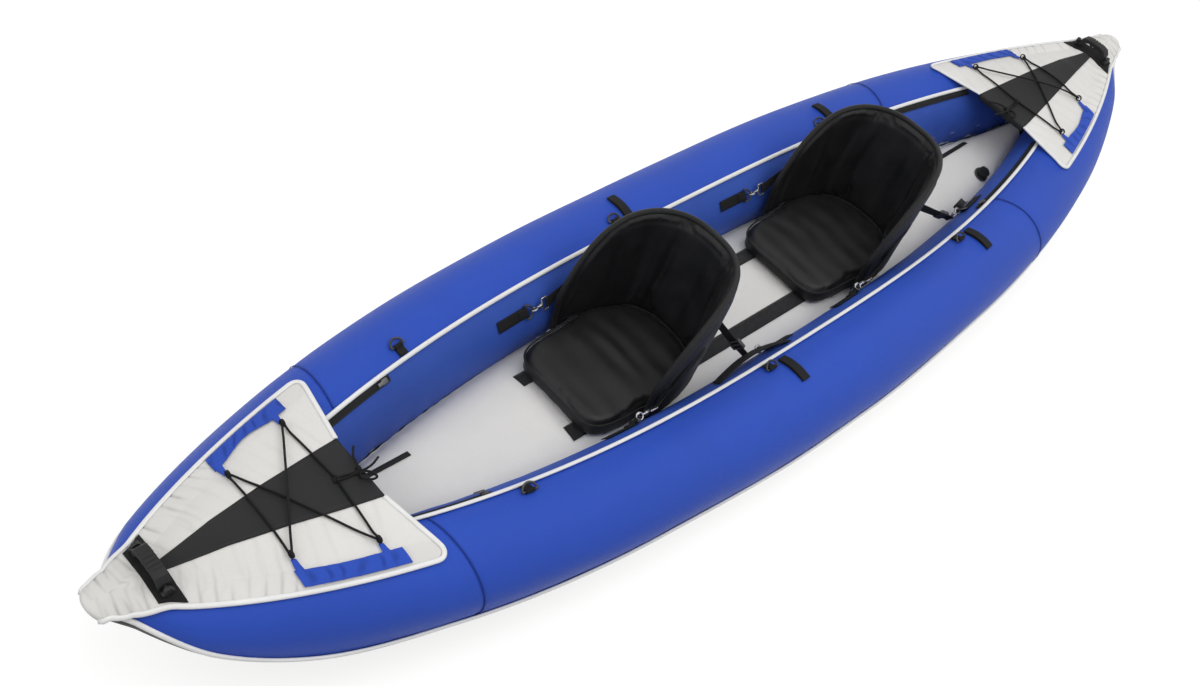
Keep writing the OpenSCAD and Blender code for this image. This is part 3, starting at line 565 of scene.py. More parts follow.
def deck_point(x, v, lift):
    out = (lift + nose_gap(x)) * nose_round(x)
    if abs(v) <= 0.5:
        return Vector((x, 2 * v * rail(x), middle(x) + high(x) + out + crown(x) * (1 - 4 * v * v)))
    return deck_arc(x, copysign(1, v), mix(90, deck_angle(x), 2 * abs(v) - 1), out)


def deck_z(x, y, lift):
    out = lift + nose_gap(x)
    if abs(y) <= rail(x):
        return middle(x) + high(x) + out + crown(x) * (1 - (y / rail(x)) ** 2)
    share = (abs(y) - rail(x)) / (wide(x) + out)
    return middle(x) + (high(x) + out) * sqrt(max(0.0, 1 - share ** 2))


def deck_edge_y(x):
    return rail(x) + wide(x) * cos(radians(deck_angle(x)))


def into_corner(v):
    return clamp((abs(v) - 1 + CORNER_SHARE) / CORNER_SHARE, 0, 1)


def deck_start(v):
    reach = deck_point(DECK_X, abs(v), 0.0).y
    slant = EDGE_CUT * (1 - clamp((reach - PANEL_HALF) / (deck_edge_y(DECK_X) - PANEL_HALF), 0, 1))
    return DECK_X + slant + CORNER_RADIUS * (1 - sqrt(max(0.0, 1 - into_corner(v) ** 2)))


def crisp(phase, power):
    return (0.5 + 0.5 * cos(phase)) ** power


def deck_folds(x, v):
    along_deck = abs(x)
    in_from_edge = (1 - abs(v)) * deck_edge_y(x)
    drift = waver(x * 9, v, 2.0)
    some = clamp(0.65 + 1.3 * waver(x * 27, copysign(3, v), 5.0), 0, 1)
    window = ease((along_deck - 1.33) / 0.05) * (1 - 0.4 * ease((along_deck - 1.54) / 0.03))
    edge_fold = crisp((along_deck + 0.35 * in_from_edge) * 250 + 1.6 * drift, 9)
    edge_fold *= some * bell(in_from_edge, 0.035 + 0.045 * some) * (0.1 + 0.9 * window)
    from_panel = max(0.0, abs(v) * deck_edge_y(x) - 0.5 * PANEL_HALF)
    tug = crisp((along_deck - 0.5 * from_panel) * 180 + 2.5 * waver(x * 9, v * 2, 8.0), 6)
    tug *= 0.22 * some * bell(from_panel - 0.02, 0.045)
    nose = ease((along_deck - 1.61) / 0.02) * ease((1.69 - along_deck) / 0.03) * ease((abs(v) - 0.6) / 0.3)
    nose_fold = 0.6 * nose * crisp(along_deck * 330 + 1.5 * drift, 5)
    return min(1.0, edge_fold + tug + nose_fold)


def thickened(piece, thickness, offset=0):
    layer = piece.modifiers.new("thickness", "SOLIDIFY")
    layer.thickness = thickness
    layer.offset = offset


FOLD_DEPTH = 0.0026
DECK_SLACK = 0.0016
LEAST_LIFT = 0.0004
for end, end_name in ((1, "bow"), (-1, "stern")):
    def deck_spot(u, v, end=end):
        share = 2 * v - 1
        run = 1 - (1 - u) ** 1.35
        return end * mix(deck_start(share), HALF, run), share

    def deck_place(u, v, deck_spot=deck_spot):
        x, share = deck_spot(u, v)
        soft = 0.0005 * (1 + waver(x * 9, share * 2.4, 3.0))
        lift = DECK_TOP + DECK_SLACK - soft - FOLD_DEPTH * deck_folds(x, share)
        return deck_point(x, share, max(LEAST_LIFT, lift))

    # The fold depth also goes into the crease attribute, which darkens the deck colour there: painted shade
    # in the folds.
    def deck_crease(u, v, deck_spot=deck_spot):
        return deck_folds(*deck_spot(u, v))

    deck = cloth_grid(end_name + "_deck_skin", 250, 170, deck_place, (0.62, 0.75), UP, crease=deck_crease)
    thickened(deck, 0.0018, -1)
    dress(deck, grey_fabric, "grey_fabric", "hull", end_name + "_deck")

# Deck binding
# The same white piping bound round the deck edge, down both sides and round the cockpit corners.
# It stops at the black middle panel, which is folded over the edge instead.
BINDING_TIP = 1.690
BINDING_LAP = 2.4
BINDING_LIFT = 0.0048
HEM_LIFT = 0.0046
HEM_REACH = 0.004
bindings = []
for end in (1, -1):
    for side in (1, -1):
        route = []
        for i in range(111):
            x = end * mix(BINDING_TIP, deck_start(1.0), i / 110)
            out = (BINDING_LIFT + nose_gap(x)) * nose_round(x)
            route.append(deck_arc(x, side, deck_angle(x) - BINDING_LAP, out))
        for i in range(1, 70):
            v = mix(1.0, 0.5 * PANEL_HALF / rail(DECK_X + EDGE_CUT), i / 69)
            corner = into_corner(v)
            x = end * (deck_start(v) - HEM_REACH * sqrt(1 - corner ** 2))
            if abs(v) > 0.5:
                degrees = mix(90, deck_angle(x), 2 * v - 1) - BINDING_LAP * corner
                route.append(deck_arc(x, side, degrees, HEM_LIFT))
            else:
                route.append(deck_point(x, side * v, HEM_LIFT))
        ups = []
        for point in route:
            share = clamp(abs(point.y) - rail(point.x), 0, 1)
            ups.append(Vector((0, side * share, max(0.02, point.z - middle(point.x)))))
        bindings.append(bead("binding", route, ups, BEAD_WIDTH, BEAD_HEIGHT))
deck_binding = joined("deck_binding", bindings)
dress(deck_binding, white_piping, "white_piping", "hull", "deck_edge_piping")

# Middle panels of the decks
# Black coated fabric sewn along the middle of each deck, folded over the cockpit edge.
# Each tapers to the handle band and has one row of stitches along both sides.
black_panel = cloth_look("black_panel", (0.012, 0.012, 0.013), (0.009, 0.009, 0.010),
                         3800, 6.0, 0.5, 0.5, 0.26)
PANEL_END = DECK_X + 0.452
PANEL_TIP_HALF = 0.012
PANEL_FOLD = 0.06
PANEL_CUT_HALF = 0.29
STITCH_LENGTH = 0.0045
STITCH_GAP = 0.0025


def stitch_row(made, points):
    travelled = 0.0
    for a, b in zip(points, points[1:]):
        run = b - a
        while travelled <= run.length:
            ahead = run.normalized()
            across = UP.cross(ahead).normalized()
            lift = ahead.cross(across)
            shape = Matrix((ahead * STITCH_LENGTH / 2, across * 0.0006, lift * 0.0005))
            frame_at = shape.transposed().to_4x4()
            frame_at.translation = a + ahead * travelled + lift * 0.0003
            bmesh.ops.create_icosphere(made, subdivisions=1, radius=1, matrix=frame_at)
            travelled += STITCH_LENGTH + STITCH_GAP
        travelled -= run.length


panels = []
stitches = bmesh.new()
for end in (1, -1):
    def panel_place(u, v, end=end):
        run = max(0.0, (u - PANEL_FOLD) / (1 - PANEL_FOLD))
        fold = max(0.0, (PANEL_FOLD - u) / PANEL_FOLD)
        y = (2 * v - 1) * mix(PANEL_HALF, PANEL_TIP_HALF, run ** 1.1)
        start = deck_start(0.5 * y / PANEL_CUT_HALF) - HEM_REACH
        x = end * mix(start, PANEL_END, run)
        ripple = 0.0006 * (1 + waver(x * 20, y * 24, 6.0))
        z = deck_z(x, y, DECK_TOP + 0.0030 - ripple)
        x -= end * HEM_REACH * sin(pi / 2 * min(1, 2 * fold))
        return Vector((x, y, z - 0.016 * fold ** 1.4))

    panels.append(cloth_grid("deck_panel", 110, 24, panel_place, (0.46, 0.12), UP))
    for share in (0.07, 0.93):
        stitch_row(stitches, [panel_place(mix(0.07, 0.98, i / 60), share) for i in range(61)])
middle_panels = joined("middle_panels", panels)
thickened(middle_panels, 0.0010)
dress(middle_panels, black_panel, "black_fabric", "hull", "deck_center_panels")
thread = cloth_look("thread", (0.05, 0.05, 0.052), (0.035, 0.035, 0.036), 9000, 60.0, 0.6, 0.3)
panel_stitches = keep_piece("panel_stitches", stitches)
dress(panel_stitches, thread, "black_fabric", "hull")

# Lacing gussets
# Blue fabric sewn along the outer edge of each deck, with two small tabs for the cord loops.
# The cord pulls the tabs inboard, so the fabric is drawn into small folds.
LOOP_XS = (DECK_X + 0.097, DECK_X + 0.254)
LOOP_INSETS = (0.063, 0.068)
LOOP_STEP = 0.157
TAB_HALF = 0.0075
TAB_EDGE = 0.003
EDGE_MARGIN = 0.002
GUSSET_SPAN = (-0.030, 0.168)
GUSSET_DEPTH = 0.036
GUSSET_LIFT = 0.0056
GUSSET_FOLD = 0.0028
SCALLOPS = {(1, 1): 0.15, (1, -1): 1.0, (-1, 1): 0.6, (-1, -1): 0.2}


def gusset_depth(dx, scallop):
    drawn_in = scallop * 0.012 * sin(pi * clamp(dx / LOOP_STEP, 0, 1)) ** 2
    aft_tab = 0.019 * ease((TAB_HALF - abs(dx)) / TAB_EDGE)
    fore_tab = 0.024 * ease((TAB_HALF - abs(dx - LOOP_STEP)) / TAB_EDGE)
    return GUSSET_DEPTH - drawn_in + aft_tab + fore_tab


gussets = []
for end in (1, -1):
    for side in (1, -1):
        # The fold depth is also given as the crease attribute, which darkens the gusset colour there: painted
        # shade in the folds.
        def gusset_crease(u, v, end=end, side=side):
            dx = mix(*GUSSET_SPAN, u)
            drift = waver(dx * 18, v * 1.2 + 3 * end, 5 * side)
            return crisp(dx * 200 + 2.6 * v * side + 3.0 * drift, 5) * (0.2 + 0.8 * sin(pi * v))

        def gusset_place(u, v, end=end, side=side, gusset_crease=gusset_crease):
            dx = mix(*GUSSET_SPAN, u)
            x = LOOP_XS[0] + dx
            y = deck_edge_y(end * x) - EDGE_MARGIN - v * gusset_depth(dx, SCALLOPS[end, side])
            lift = DECK_TOP + GUSSET_LIFT - GUSSET_FOLD * gusset_crease(u, v)
            return Vector((end * x, side * y, deck_z(end * x, y, lift)))

        gussets.append(cloth_grid("gusset", 150, 26, gusset_place, (0.20, 0.07), UP, crease=gusset_crease))
lacing_gussets = joined("lacing_gussets", gussets)
thickened(lacing_gussets, 0.0012)
dress(lacing_gussets, blue_cover, "blue_cover", "hull", "bungee_gussets")

# Deck cords
# A 5 mm black elastic cord on each deck, laced through four webbing loops in a cross.
# Both ends meet in an overhand knot near the cockpit edge and leave two short tails.
black_webbing = cloth_look("black_webbing", (0.011, 0.011, 0.012), (0.007, 0.007, 0.0075),
                           2400, 30.0, 0.68, 0.8, 0.2)
elastic_cord = cloth_look("elastic_cord", (0.009, 0.009, 0.0095), (0.005, 0.005, 0.0055),
                          2600, 40.0, 0.6, 1.0, 0.2)
CORD_RADIUS = 0.0025
CORD_LIFT = 0.0059
CROSSING_LIFT = 0.0125
LOOP_LIFT = 0.0122
LOOP_RADIUS = 0.0075
KNOT_LIFT = 0.006
KNOT_HALF = 0.004
LEAD_HALF = 0.003
TIE_REACH = 0.051
LONG_TAIL = [(0, 0, 0), (-0.004, -0.018, 0.005), (-0.010, -0.036, 0.003), (-0.024, -0.055, 0.001)]
KNOT_LOOP = [(0, 0.002, 0), (0.006, 0.016, 0.004), (-0.006, 0.031, 0.005), (-0.020, 0.030, 0.003),
             (-0.014, 0.012, 0.003), (0, 0, 0)]
SHORT_TAIL = [(0, 0, 0), (-0.012, 0.004, 0.004), (-0.030, 0.001, 0.002), (-0.052, -0.010, -0.004)]


def loop_y(k):
    return deck_edge_y(LOOP_XS[k]) - LOOP_INSETS[k]


def loop_point(end, k, side):
    x = end * LOOP_XS[k]
    return Vector((x, side * loop_y(k), deck_z(x, loop_y(k), DECK_TOP) + LOOP_LIFT))


def over_deck(point, lift):
    return Vector((point.x, point.y, deck_z(point.x, point.y, DECK_TOP) + lift))


def span(a, b, lift):
    return [over_deck(a.lerp(b, t), lift) for t in (0.14, 0.3, 0.5, 0.7, 0.86)]


def circle(count):
    return [2 * pi * i / count for i in range(count + 1)]


def cord_piece(name, points, steps=6):
    path = smooth_path(points, steps)
    return bead(name, path, [Vector((0.05, 0.02, 1))] * len(path), CORD_RADIUS, CORD_RADIUS)


loops = []
for end, end_name in ((1, "bow"), (-1, "stern")):
    knot = Vector((end * (LOOP_XS[0] - 0.012), 0.006, 0))
    heart = over_deck(knot, KNOT_LIFT)
    tie = over_deck(knot + Vector((-end * TIE_REACH, 0.005, 0)), KNOT_LIFT)
    port_aft, port_fore = loop_point(end, 0, 1), loop_point(end, 1, 1)
    board_aft, board_fore = loop_point(end, 0, -1), loop_point(end, 1, -1)
    lacing = [over_deck(knot + Vector((0, KNOT_HALF, 0)), KNOT_LIFT)]
    lacing += span(knot, port_aft, CORD_LIFT) + [port_aft]
    lacing += span(port_aft, board_fore, CORD_LIFT) + [board_fore]
    lacing += span(board_fore, port_fore, CORD_LIFT) + [port_fore]
    lacing += span(port_fore, board_aft, CROSSING_LIFT) + [board_aft]
    lacing += span(board_aft, knot, CORD_LIFT)
    lacing += [over_deck(knot + Vector((0, -KNOT_HALF, 0)), KNOT_LIFT)]
    cords = [cord_piece("cord", lacing)]
    for side in (1, -1):
        half_way = heart.lerp(tie, 0.5) + Vector((0, side * LEAD_HALF, -0.002))
        cords.append(cord_piece("lead", [heart + Vector((0, side * LEAD_HALF, 0)), half_way, tie]))
    for centre, size in ((heart, 0.8), (tie, 1.0)):
        turns = []
        for t in circle(48):
            turns.append(centre + size * Vector((
                0.0028 * (sin(t) + 2 * sin(2 * t)),
                0.0032 * (cos(t) - 2 * cos(2 * t)),
                0.0026 * sin(3 * t),
            )))
        cords.append(cord_piece("knot", turns, 2))
    for route in (LONG_TAIL, KNOT_LOOP, SHORT_TAIL):
        cords.append(cord_piece("tail", [tie + Vector((end * x, y, z)) for x, y, z in route]))
    deck_cord = joined(end_name + "_deck_cord", cords)
    dress(deck_cord, elastic_cord, "elastic_cord", "hull", end_name + "_bungee")
    for k in (0, 1):
        for side in (1, -1):
            eye = loop_point(end, k, side)
            ring = [eye + Vector((0, LOOP_RADIUS * cos(t), LOOP_RADIUS * sin(t))) for t in circle(28)]
            loops.append(bead("loop", ring, [point - eye for point in ring], 0.0034, 0.0014))
cord_loops = joined("cord_loops", loops)
dress(cord_loops, black_webbing, "black_webbing", "hull", "bungee_loops")

# Carry handles
# A band of 44 mm webbing across each nose, with a moulded rubber grip that rocks on two pins.
# The band is sewn to the tubes, and the pin lugs stand on it.
HANDLE_X = 1.572
BAND_WIDTH = 0.044


def ribbon(name, columns, place, flat, thickness, outward=None, rows=6):
    piece = cloth_grid(name, columns, rows, place, flat, outward)
    thickened(piece, thickness)
    return piece


bands = []
for end in (1, -1):
    def band_place(u, v, end=end):
        x = end * HANDLE_X + (v - 0.5) * BAND_WIDTH
        y = (2 * u - 1) * (deck_edge_y(x) - EDGE_MARGIN)
        wave = 0.0004 * sin(u * 22) * sin(pi * v)
        return Vector((x, y, deck_z(x, y, DECK_TOP + 0.0022 + wave)))

    bands.append(ribbon("band", 60, band_place, (0.26, BAND_WIDTH), 0.0018, UP, 8))
handle_bands = joined("handle_webbing", bands)
dress(handle_bands, black_webbing, "black_webbing", "hull", "handle_bands")

MOULDED_INPUTS = [("Place", "Vector"), ("Tone", "Color"), ("Worn", "Color"), ("Grain", "Float"),
                  ("Rough", "Float")]
group, given, result = new_group("moulded_grain", MOULDED_INPUTS, GRAIN_OUTPUTS)
moulded_grain = group
fine = add_node(group, "TexNoise", {"Vector": given["Place"], "Scale": given["Grain"], "Detail": 3})
broad = add_node(group, "TexNoise", {"Vector": given["Place"], "Scale": 22.0, "Detail": 3})
wear = add_node(group, "MapRange", {0: broad[0], 1: 0.45, 2: 0.75})
tint = add_node(group, "Mix", {0: wear[0], 6: given["Tone"], 7: given["Worn"]}, data_type="RGBA")
dull = add_node(group, "MapRange", {0: broad[0], 1: 0.3, 2: 0.7, 3: -0.08, 4: 0.08})
rough = add_node(group, "Math", {0: given["Rough"], 1: dull[0]}, operation="ADD")
set_inputs(group, result, {"Colour": tint[2], "Roughness": rough[0], "Height": fine[0]})
GRAIN_HEIGHT = 0.0003


def moulded_look(name, tone, worn, grain, rough, bump, metallic=0.0, specular=0.4):
    look, tree, shader = new_look(name)
    where = add_node(tree, "TexCoord", {})
    surface = add_node(tree, "Group", {
        "Place": where["Object"], "Tone": (*tone, 1), "Worn": (*worn, 1), "Grain": grain, "Rough": rough,
    }, node_tree=moulded_grain)
    relief = add_node(tree, "Bump", {"Height": surface["Height"], "Distance": GRAIN_HEIGHT, "Strength": bump})
    set_inputs(tree, shader, {
        "Base Color": surface["Colour"], "Roughness": surface["Roughness"], "Normal": relief[0],
        "Metallic": metallic, "Specular IOR Level": specular,
    })
    return look


black_plastic = moulded_look("black_plastic", (0.010, 0.010, 0.0105), (0.016, 0.016, 0.017),
                             900.0, 0.45, 0.4, 0.0, 0.35)
grip_rubber = moulded_look("grip_rubber", (0.007, 0.007, 0.0075), (0.012, 0.012, 0.0125),
                           1300.0, 0.55, 0.6, 0.0, 0.3)
WELD_GAP = 2e-5
FLAT_ANGLE = radians(1.0)
SHARP_ANGLE = radians(28)
SHADED_ANGLE = radians(40)


def softened(node, width, look, slot, body, segments=2):
    made = bmesh.new()
    made.from_mesh(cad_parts[node].data)
    bmesh.ops.remove_doubles(made, verts=made.verts, dist=WELD_GAP)
    bmesh.ops.dissolve_limit(made, angle_limit=FLAT_ANGLE, verts=made.verts, edges=made.edges)
    sharp = [edge for edge in made.edges if edge.is_manifold and edge.calc_face_angle(0) > SHARP_ANGLE]
    bmesh.ops.bevel(made, geom=sharp, offset=width, offset_type="OFFSET", affect="EDGES", segments=segments,
                    profile=0.5, material=-1, clamp_overlap=True)
    bmesh.ops.triangulate(made, faces=[face for face in made.faces if len(face.verts) > 4])
    for face in made.faces:
        face.smooth = True
    piece = keep_piece(node + "_finished", made)
    piece.data.set_sharp_from_angle(angle=SHADED_ANGLE)
    dress(piece, look, slot, body, node)


softened("bow_grip", 0.0022, grip_rubber, "black_plastic", "bow_handle", 3)
softened("stern_grip", 0.0022, grip_rubber, "black_plastic", "stern_handle", 3)
softened("handle_lugs", 0.0008, black_plastic, "black_plastic", "hull")

# Lashing rings
# Six black steel D-rings on tabs of doubled webbing, sewn on the tube tops.
# Beside the middle and stern rings a short doubled strap keeps a paddle.
ring_steel = moulded_look("ring_steel", (0.045, 0.045, 0.047), (0.085, 0.085, 0.088), 700.0, 0.38, 0.25, 0.85)
RING_XS = (0.509 * HALF, 0.098 * HALF, -0.356 * HALF)
RING_ANGLE = 108
RING_RADIUS = 0.0025
BAR_LIFT = RING_RADIUS + 0.0023
TAB_WIDTH = 0.022
TAB_REACH = 0.024
TAB_GAP = 0.0013
for side_name in ("port", "starboard"):
    for place_name in ("bow", "mid", "stern"):
        ring_name = side_name + "_" + place_name
        softened(ring_name + "_ring", 0.0003, ring_steel, "ring_steel", ring_name + "_dring", 1)


def on_tube(x, degrees, side):
    ahead = tube(x + 0.005, degrees)
    behind = tube(x - 0.005, degrees)
    yaw = atan2(ahead.y - behind.y, 0.010)
    pitch = atan2(ahead.z - behind.z, 0.010)
    turned = Matrix.Rotation(yaw, 4, "Z") @ Matrix.Rotation(-pitch, 4, "Y")
    turned = turned @ Matrix.Rotation(radians(degrees - 90), 4, "X")
    return Matrix.Diagonal((1, side, 1, 1)) @ Matrix.Translation(tube(x, degrees)) @ turned


def tab_profile(low):
    wrap = RING_RADIUS + TAB_GAP
    route = [Vector((x, 0, low)) for x in (-TAB_REACH, -TAB_REACH * 0.6, -0.006)]
    for i in range(13):
        turn = radians(mix(-110, 110, i / 12))
        route.append(Vector((wrap * cos(turn), 0, wrap * sin(turn))))
    upper_leg = ((-0.008, 0.0022), (-TAB_REACH * 0.6, 0.0019), (-TAB_REACH * 0.95, 0.0018))
    route += [Vector((x, 0, low + rise)) for x, rise in upper_leg]
    return smooth_path(route, 3)


def webbing_run(name, path, width, place_at, thickness):
    count = len(path) - 1

    def place(u, v):
        return place_at @ (path[round(u * count)] + Vector((0, (v - 0.5) * width, 0)))

    return ribbon(name, count, place, (path_length(path), width), thickness)


tabs = []
for side in (1, -1):
    for ring_x in RING_XS:
        tab_frame = on_tube(ring_x, RING_ANGLE, side) @ Matrix.Translation((0, 0.005, BAR_LIFT))
        tab_frame = tab_frame @ Matrix.Rotation(pi / 2, 4, "Z")
        tabs.append(webbing_run("tab", tab_profile(-0.0036), TAB_WIDTH, tab_frame, 0.0016))
ring_tabs = joined("ring_webbing", tabs)
dress(ring_tabs, black_webbing, "black_webbing", "hull", "ring_tabs")

KEEPER_STEP = 0.046
KEEPER_WIDTH = 0.024
KEEPER_LENGTH = 0.081
KEEPER_ANGLES = (76, 112)
keepers = []
for side in (1, -1):
    for ring_x in RING_XS[1:]:
        for lift, slack in ((0.0015, 0), (0.0043, 0.002)):
            def keeper_place(u, v, side=side, x0=ring_x - KEEPER_STEP, lift=lift, slack=slack):
                raised = lift + slack * sin(pi * u)
                return tube(x0 + (v - 0.5) * KEEPER_WIDTH, mix(*KEEPER_ANGLES, u), -raised, side)

            keepers.append(ribbon("keeper", 24, keeper_place, (KEEPER_LENGTH, KEEPER_WIDTH), 0.0017))
paddle_keepers = joined("paddle_keepers", keepers)
dress(paddle_keepers, black_webbing, "black_webbing", "hull", "paddle_straps")

# Carry straps in the walls
# A length of black webbing sewn at both ends on each inner wall, standing off in the middle for a hand.
CARRY_SPAN = (0.040, 0.290)
CARRY_ANGLES = (128, 139)
carries = []
for side in (1, -1):
    def carry_place(u, v, side=side):
        lift = 0.0018 + 0.020 * sin(pi * u)
        return tube(mix(*CARRY_SPAN, u), mix(*CARRY_ANGLES, v), -lift, side)

    carries.append(ribbon("carry", 60, carry_place, (0.25, 0.025), 0.0018))
carry_straps = joined("carry_straps", carries)
dress(carry_straps, black_webbing, "black_webbing", "hull", "side_carry_straps")

# Strap anchors
# Each seat hooks to four anchors on the inner walls: a webbing patch with a folded tab and a steel ring.
SEAT_XS = (0.585, -0.187)
FORE_ANCHOR = 0.022
AFT_ANCHORS = (0.540, 0.622)
FORE_ANGLE = 147
AFT_ANGLE = 146
ANCHOR_LENGTH = 0.084
ANCHOR_WIDTH = 0.028
ANCHOR_LIFT = BAR_LIFT + 0.0008
anchors = []
for side in (1, -1):
    for seat in (0, 1):
        anchors.append((side, seat, True, SEAT_XS[seat] - FORE_ANCHOR, FORE_ANGLE, -1))
        anchors.append((side, seat, False, SEAT_XS[seat] - AFT_ANCHORS[seat], AFT_ANGLE, 1))


def anchor_frame(x, degrees, way, side):
    half_turn = Matrix.Rotation(0 if way > 0 else pi, 4, "Z")
    past_patch = Matrix.Translation((ANCHOR_LENGTH / 2 + 0.004, 0, ANCHOR_LIFT))
    return on_tube(x, degrees, side) @ half_turn @ past_patch


patches = []
for side, seat, fore, x, degrees, way in anchors:
    def patch_place(u, v, patch_frame=on_tube(x, degrees, side)):
        return patch_frame @ Vector(((u - 0.5) * ANCHOR_LENGTH, (v - 0.5) * ANCHOR_WIDTH, 0.0017))

    patches.append(ribbon("patch", 12, patch_place, (ANCHOR_LENGTH, ANCHOR_WIDTH), 0.0017))
    fold_frame = anchor_frame(x, degrees, way, side)
    patches.append(webbing_run("fold", tab_profile(-0.0030), TAB_WIDTH, fold_frame, 0.0015))
anchor_webbing = joined("anchor_webbing", patches)
dress(anchor_webbing, black_webbing, "black_webbing", "hull", "anchor_patches")
hook_metal = moulded_look("hook_metal", (0.30, 0.30, 0.305), (0.38, 0.38, 0.385), 600.0, 0.26, 0.2, 0.95)
softened("anchor_rings", 0.0003, ring_steel, "ring_steel", "hull", 1)
softened("strap_hooks", 0.0005, hook_metal, "ring_steel", "hull", 2)

# Seat grip strips
# Two black hook-and-loop strips sewn on the floor, which hold the seat cushions in place.
grip_strip = cloth_look("grip_strip", (0.030, 0.030, 0.031), (0.018, 0.018, 0.019),
                        1500, 90.0, 0.85, 1.0, 0.15, 0.3)
STRIP_SPAN = (-0.560, 0.603)
STRIP_WIDTH = 0.040
strips = []
for y0 in (0.090, -0.090):
    def strip_place(u, v, y0=y0):
        x = mix(*STRIP_SPAN, u)
        y = y0 + (v - 0.5) * STRIP_WIDTH
        return Vector((x, y, floor_z(x, y) + 0.0008))

    strips.append(ribbon("strip", 80, strip_place, (1.163, STRIP_WIDTH), 0.0016, UP))
grip_strips = joined("grip_strips", strips)
dress(grip_strips, grip_strip, "black_fabric", "hull", "seat_grip_strips")

# Zips
# Black coil zips in the inner walls under the deck corners, and one at each end of the floor.
# The air chambers go in through them. Each wall zip has a metal slider with a pull.
zip_tape = cloth_look("zip_tape", (0.020, 0.020, 0.021), (0.014, 0.014, 0.015), 3000, 40.0, 0.7, 0.7, 0.25)
zip_metal = moulded_look("zip_metal", (0.10, 0.10, 0.105), (0.15, 0.15, 0.155), 900.0, 0.4, 0.2, 0.9)
ZIP_ANGLE = 125.4
ZIP_TURN = 3.7
ZIP_RUNS = ((DECK_X - 0.178, DECK_X + 0.040), (-DECK_X - 0.040, -DECK_X + 0.330))
FLOOR_ZIPS = ((DECK_X - 0.160, DECK_X + 0.020, -0.060), (-DECK_X - 0.020, -DECK_X + 0.130, -0.050))
FLOOR_TAPE_WIDTH = 0.014
WALL_TOOTH = Matrix.Diagonal((0.0009, 0.0027, 0.0008, 1))
FLOOR_TOOTH = Matrix.Diagonal((0.0009, 0.0022, 0.0006, 1))
TOOTH_PITCH = 0.0026


def tooth_row(made, start, stop, place_at):
    for i in range(int((stop - start) / TOOTH_PITCH)):
        tooth = place_at(start + (i + 0.5) * TOOTH_PITCH)
        bmesh.ops.create_icosphere(made, subdivisions=1, radius=1, matrix=tooth)


wall_tapes = []
teeth = bmesh.new()
for side in (1, -1):
    for start, stop in ZIP_RUNS:
        def tape_place(u, v, side=side, start=start, stop=stop):
            ridge = 0.0008 * bell(v - 0.5, 0.14)
            return tube(mix(start, stop, u), ZIP_ANGLE + mix(-ZIP_TURN, ZIP_TURN, v), -0.0013 - ridge, side)

        def tooth_place(x, side=side):
            return on_tube(x, ZIP_ANGLE, side) @ Matrix.Translation((0, 0, 0.0031)) @ WALL_TOOTH

        wall_tapes.append(ribbon("tape", 60, tape_place, (stop - start, 0.027), 0.0010, rows=12))
        tooth_row(teeth, start, stop, tooth_place)
floor_tapes = []
for start, stop, y0 in FLOOR_ZIPS:
    def floor_tape_place(u, v, start=start, stop=stop, y0=y0):
        x = mix(start, stop, u)
        y = y0 + (v - 0.5) * FLOOR_TAPE_WIDTH
        return Vector((x, y, floor_z(x, y) + 0.0013))

    def floor_tooth_place(x, y0=y0):
        return Matrix.Translation((x, y0, floor_z(x, y0) + 0.0022)) @ FLOOR_TOOTH

    flat = (stop - start, FLOOR_TAPE_WIDTH)
    floor_tapes.append(ribbon("floor_tape", 40, floor_tape_place, flat, 0.0012, UP))
    tooth_row(teeth, start, stop, floor_tooth_place)
wall_zip_tapes = joined("wall_zip_tapes", wall_tapes)
dress(wall_zip_tapes, zip_tape, "zip_tape", "hull", "side_zips")
floor_zip_tapes = joined("floor_zip_tapes", floor_tapes)
dress(floor_zip_tapes, zip_tape, "zip_tape", "hull", "floor_zips")
zip_teeth = keep_piece("zip_teeth", teeth)
dress(zip_teeth, black_plastic, "zip_tape", "hull")
for side_name in ("port", "starboard"):
    for end_name in ("bow", "stern"):
        zip_name = side_name + "_" + end_name
        softened(zip_name + "_slider", 0.0005, zip_metal, "zip_metal", zip_name + "_pull")

# Valves
# Moulded flanges welded into the fabric, with ribbed screw caps that have two finger slots.
valve_grey = moulded_look("valve_grey", (0.050, 0.050, 0.052), (0.065, 0.065, 0.068), 800.0, 0.45, 0.3)
softened("valve_bodies", 0.0006, valve_grey, "black_plastic", "hull")
for place_name in ("floor", "port", "starboard"):
    softened(place_name + "_valve_cap", 0.0007, black_plastic, "black_plastic", place_name + "_cap")

# Tow loop
# A short loop of stiff webbing under the bow for a painter line.
softened("tow_loop", 0.0006, black_webbing, "black_webbing", "hull")

# Cushions
# Boxed seat cushions of satin black fabric over foam, with a piped top seam and soft cross folds.
# They lie on the grip strips.
seat_fabric = cloth_look("seat_fabric", (0.008, 0.008, 0.009), (0.005, 0.005, 0.0055),
                         3000, 14.0, 0.47, 0.7, 0.30, 0.03)
CUSHION_LENGTH = 0.365
CUSHION_WIDTH = 0.290
CUSHION_EDGE = 0.046
CUSHION_FLOOR = 0.0031
CUSHION_SLIM = 0.985
VOXEL = 0.005
SWELL_PRESSURE = 4.0
SWELL_LIMIT = 0.006
SWELL_FRAMES = 20


def cushion_spot(a, b):
    power = 2.5 if a < 0 else 5.5
    rim = max(abs(a), abs(b))
    q = (abs(a) ** power + abs(b) ** power) ** (1 / power)
    pull = 1.0 if q < 1e-6 else rim / q
    snug = ease((0.28 - a) / 0.5)
    s = CUSHION_LENGTH / 2 * (1 - a * pull * (1 + 0.045 * snug))
    return s, CUSHION_WIDTH / 2 * b * pull * (1 - 0.03 * max(0.0, a)) * (1 + 0.055 * snug), rim


def cushion_level(x):
    return keel(x) + FLOOR_HEIGHT + CUSHION_EDGE


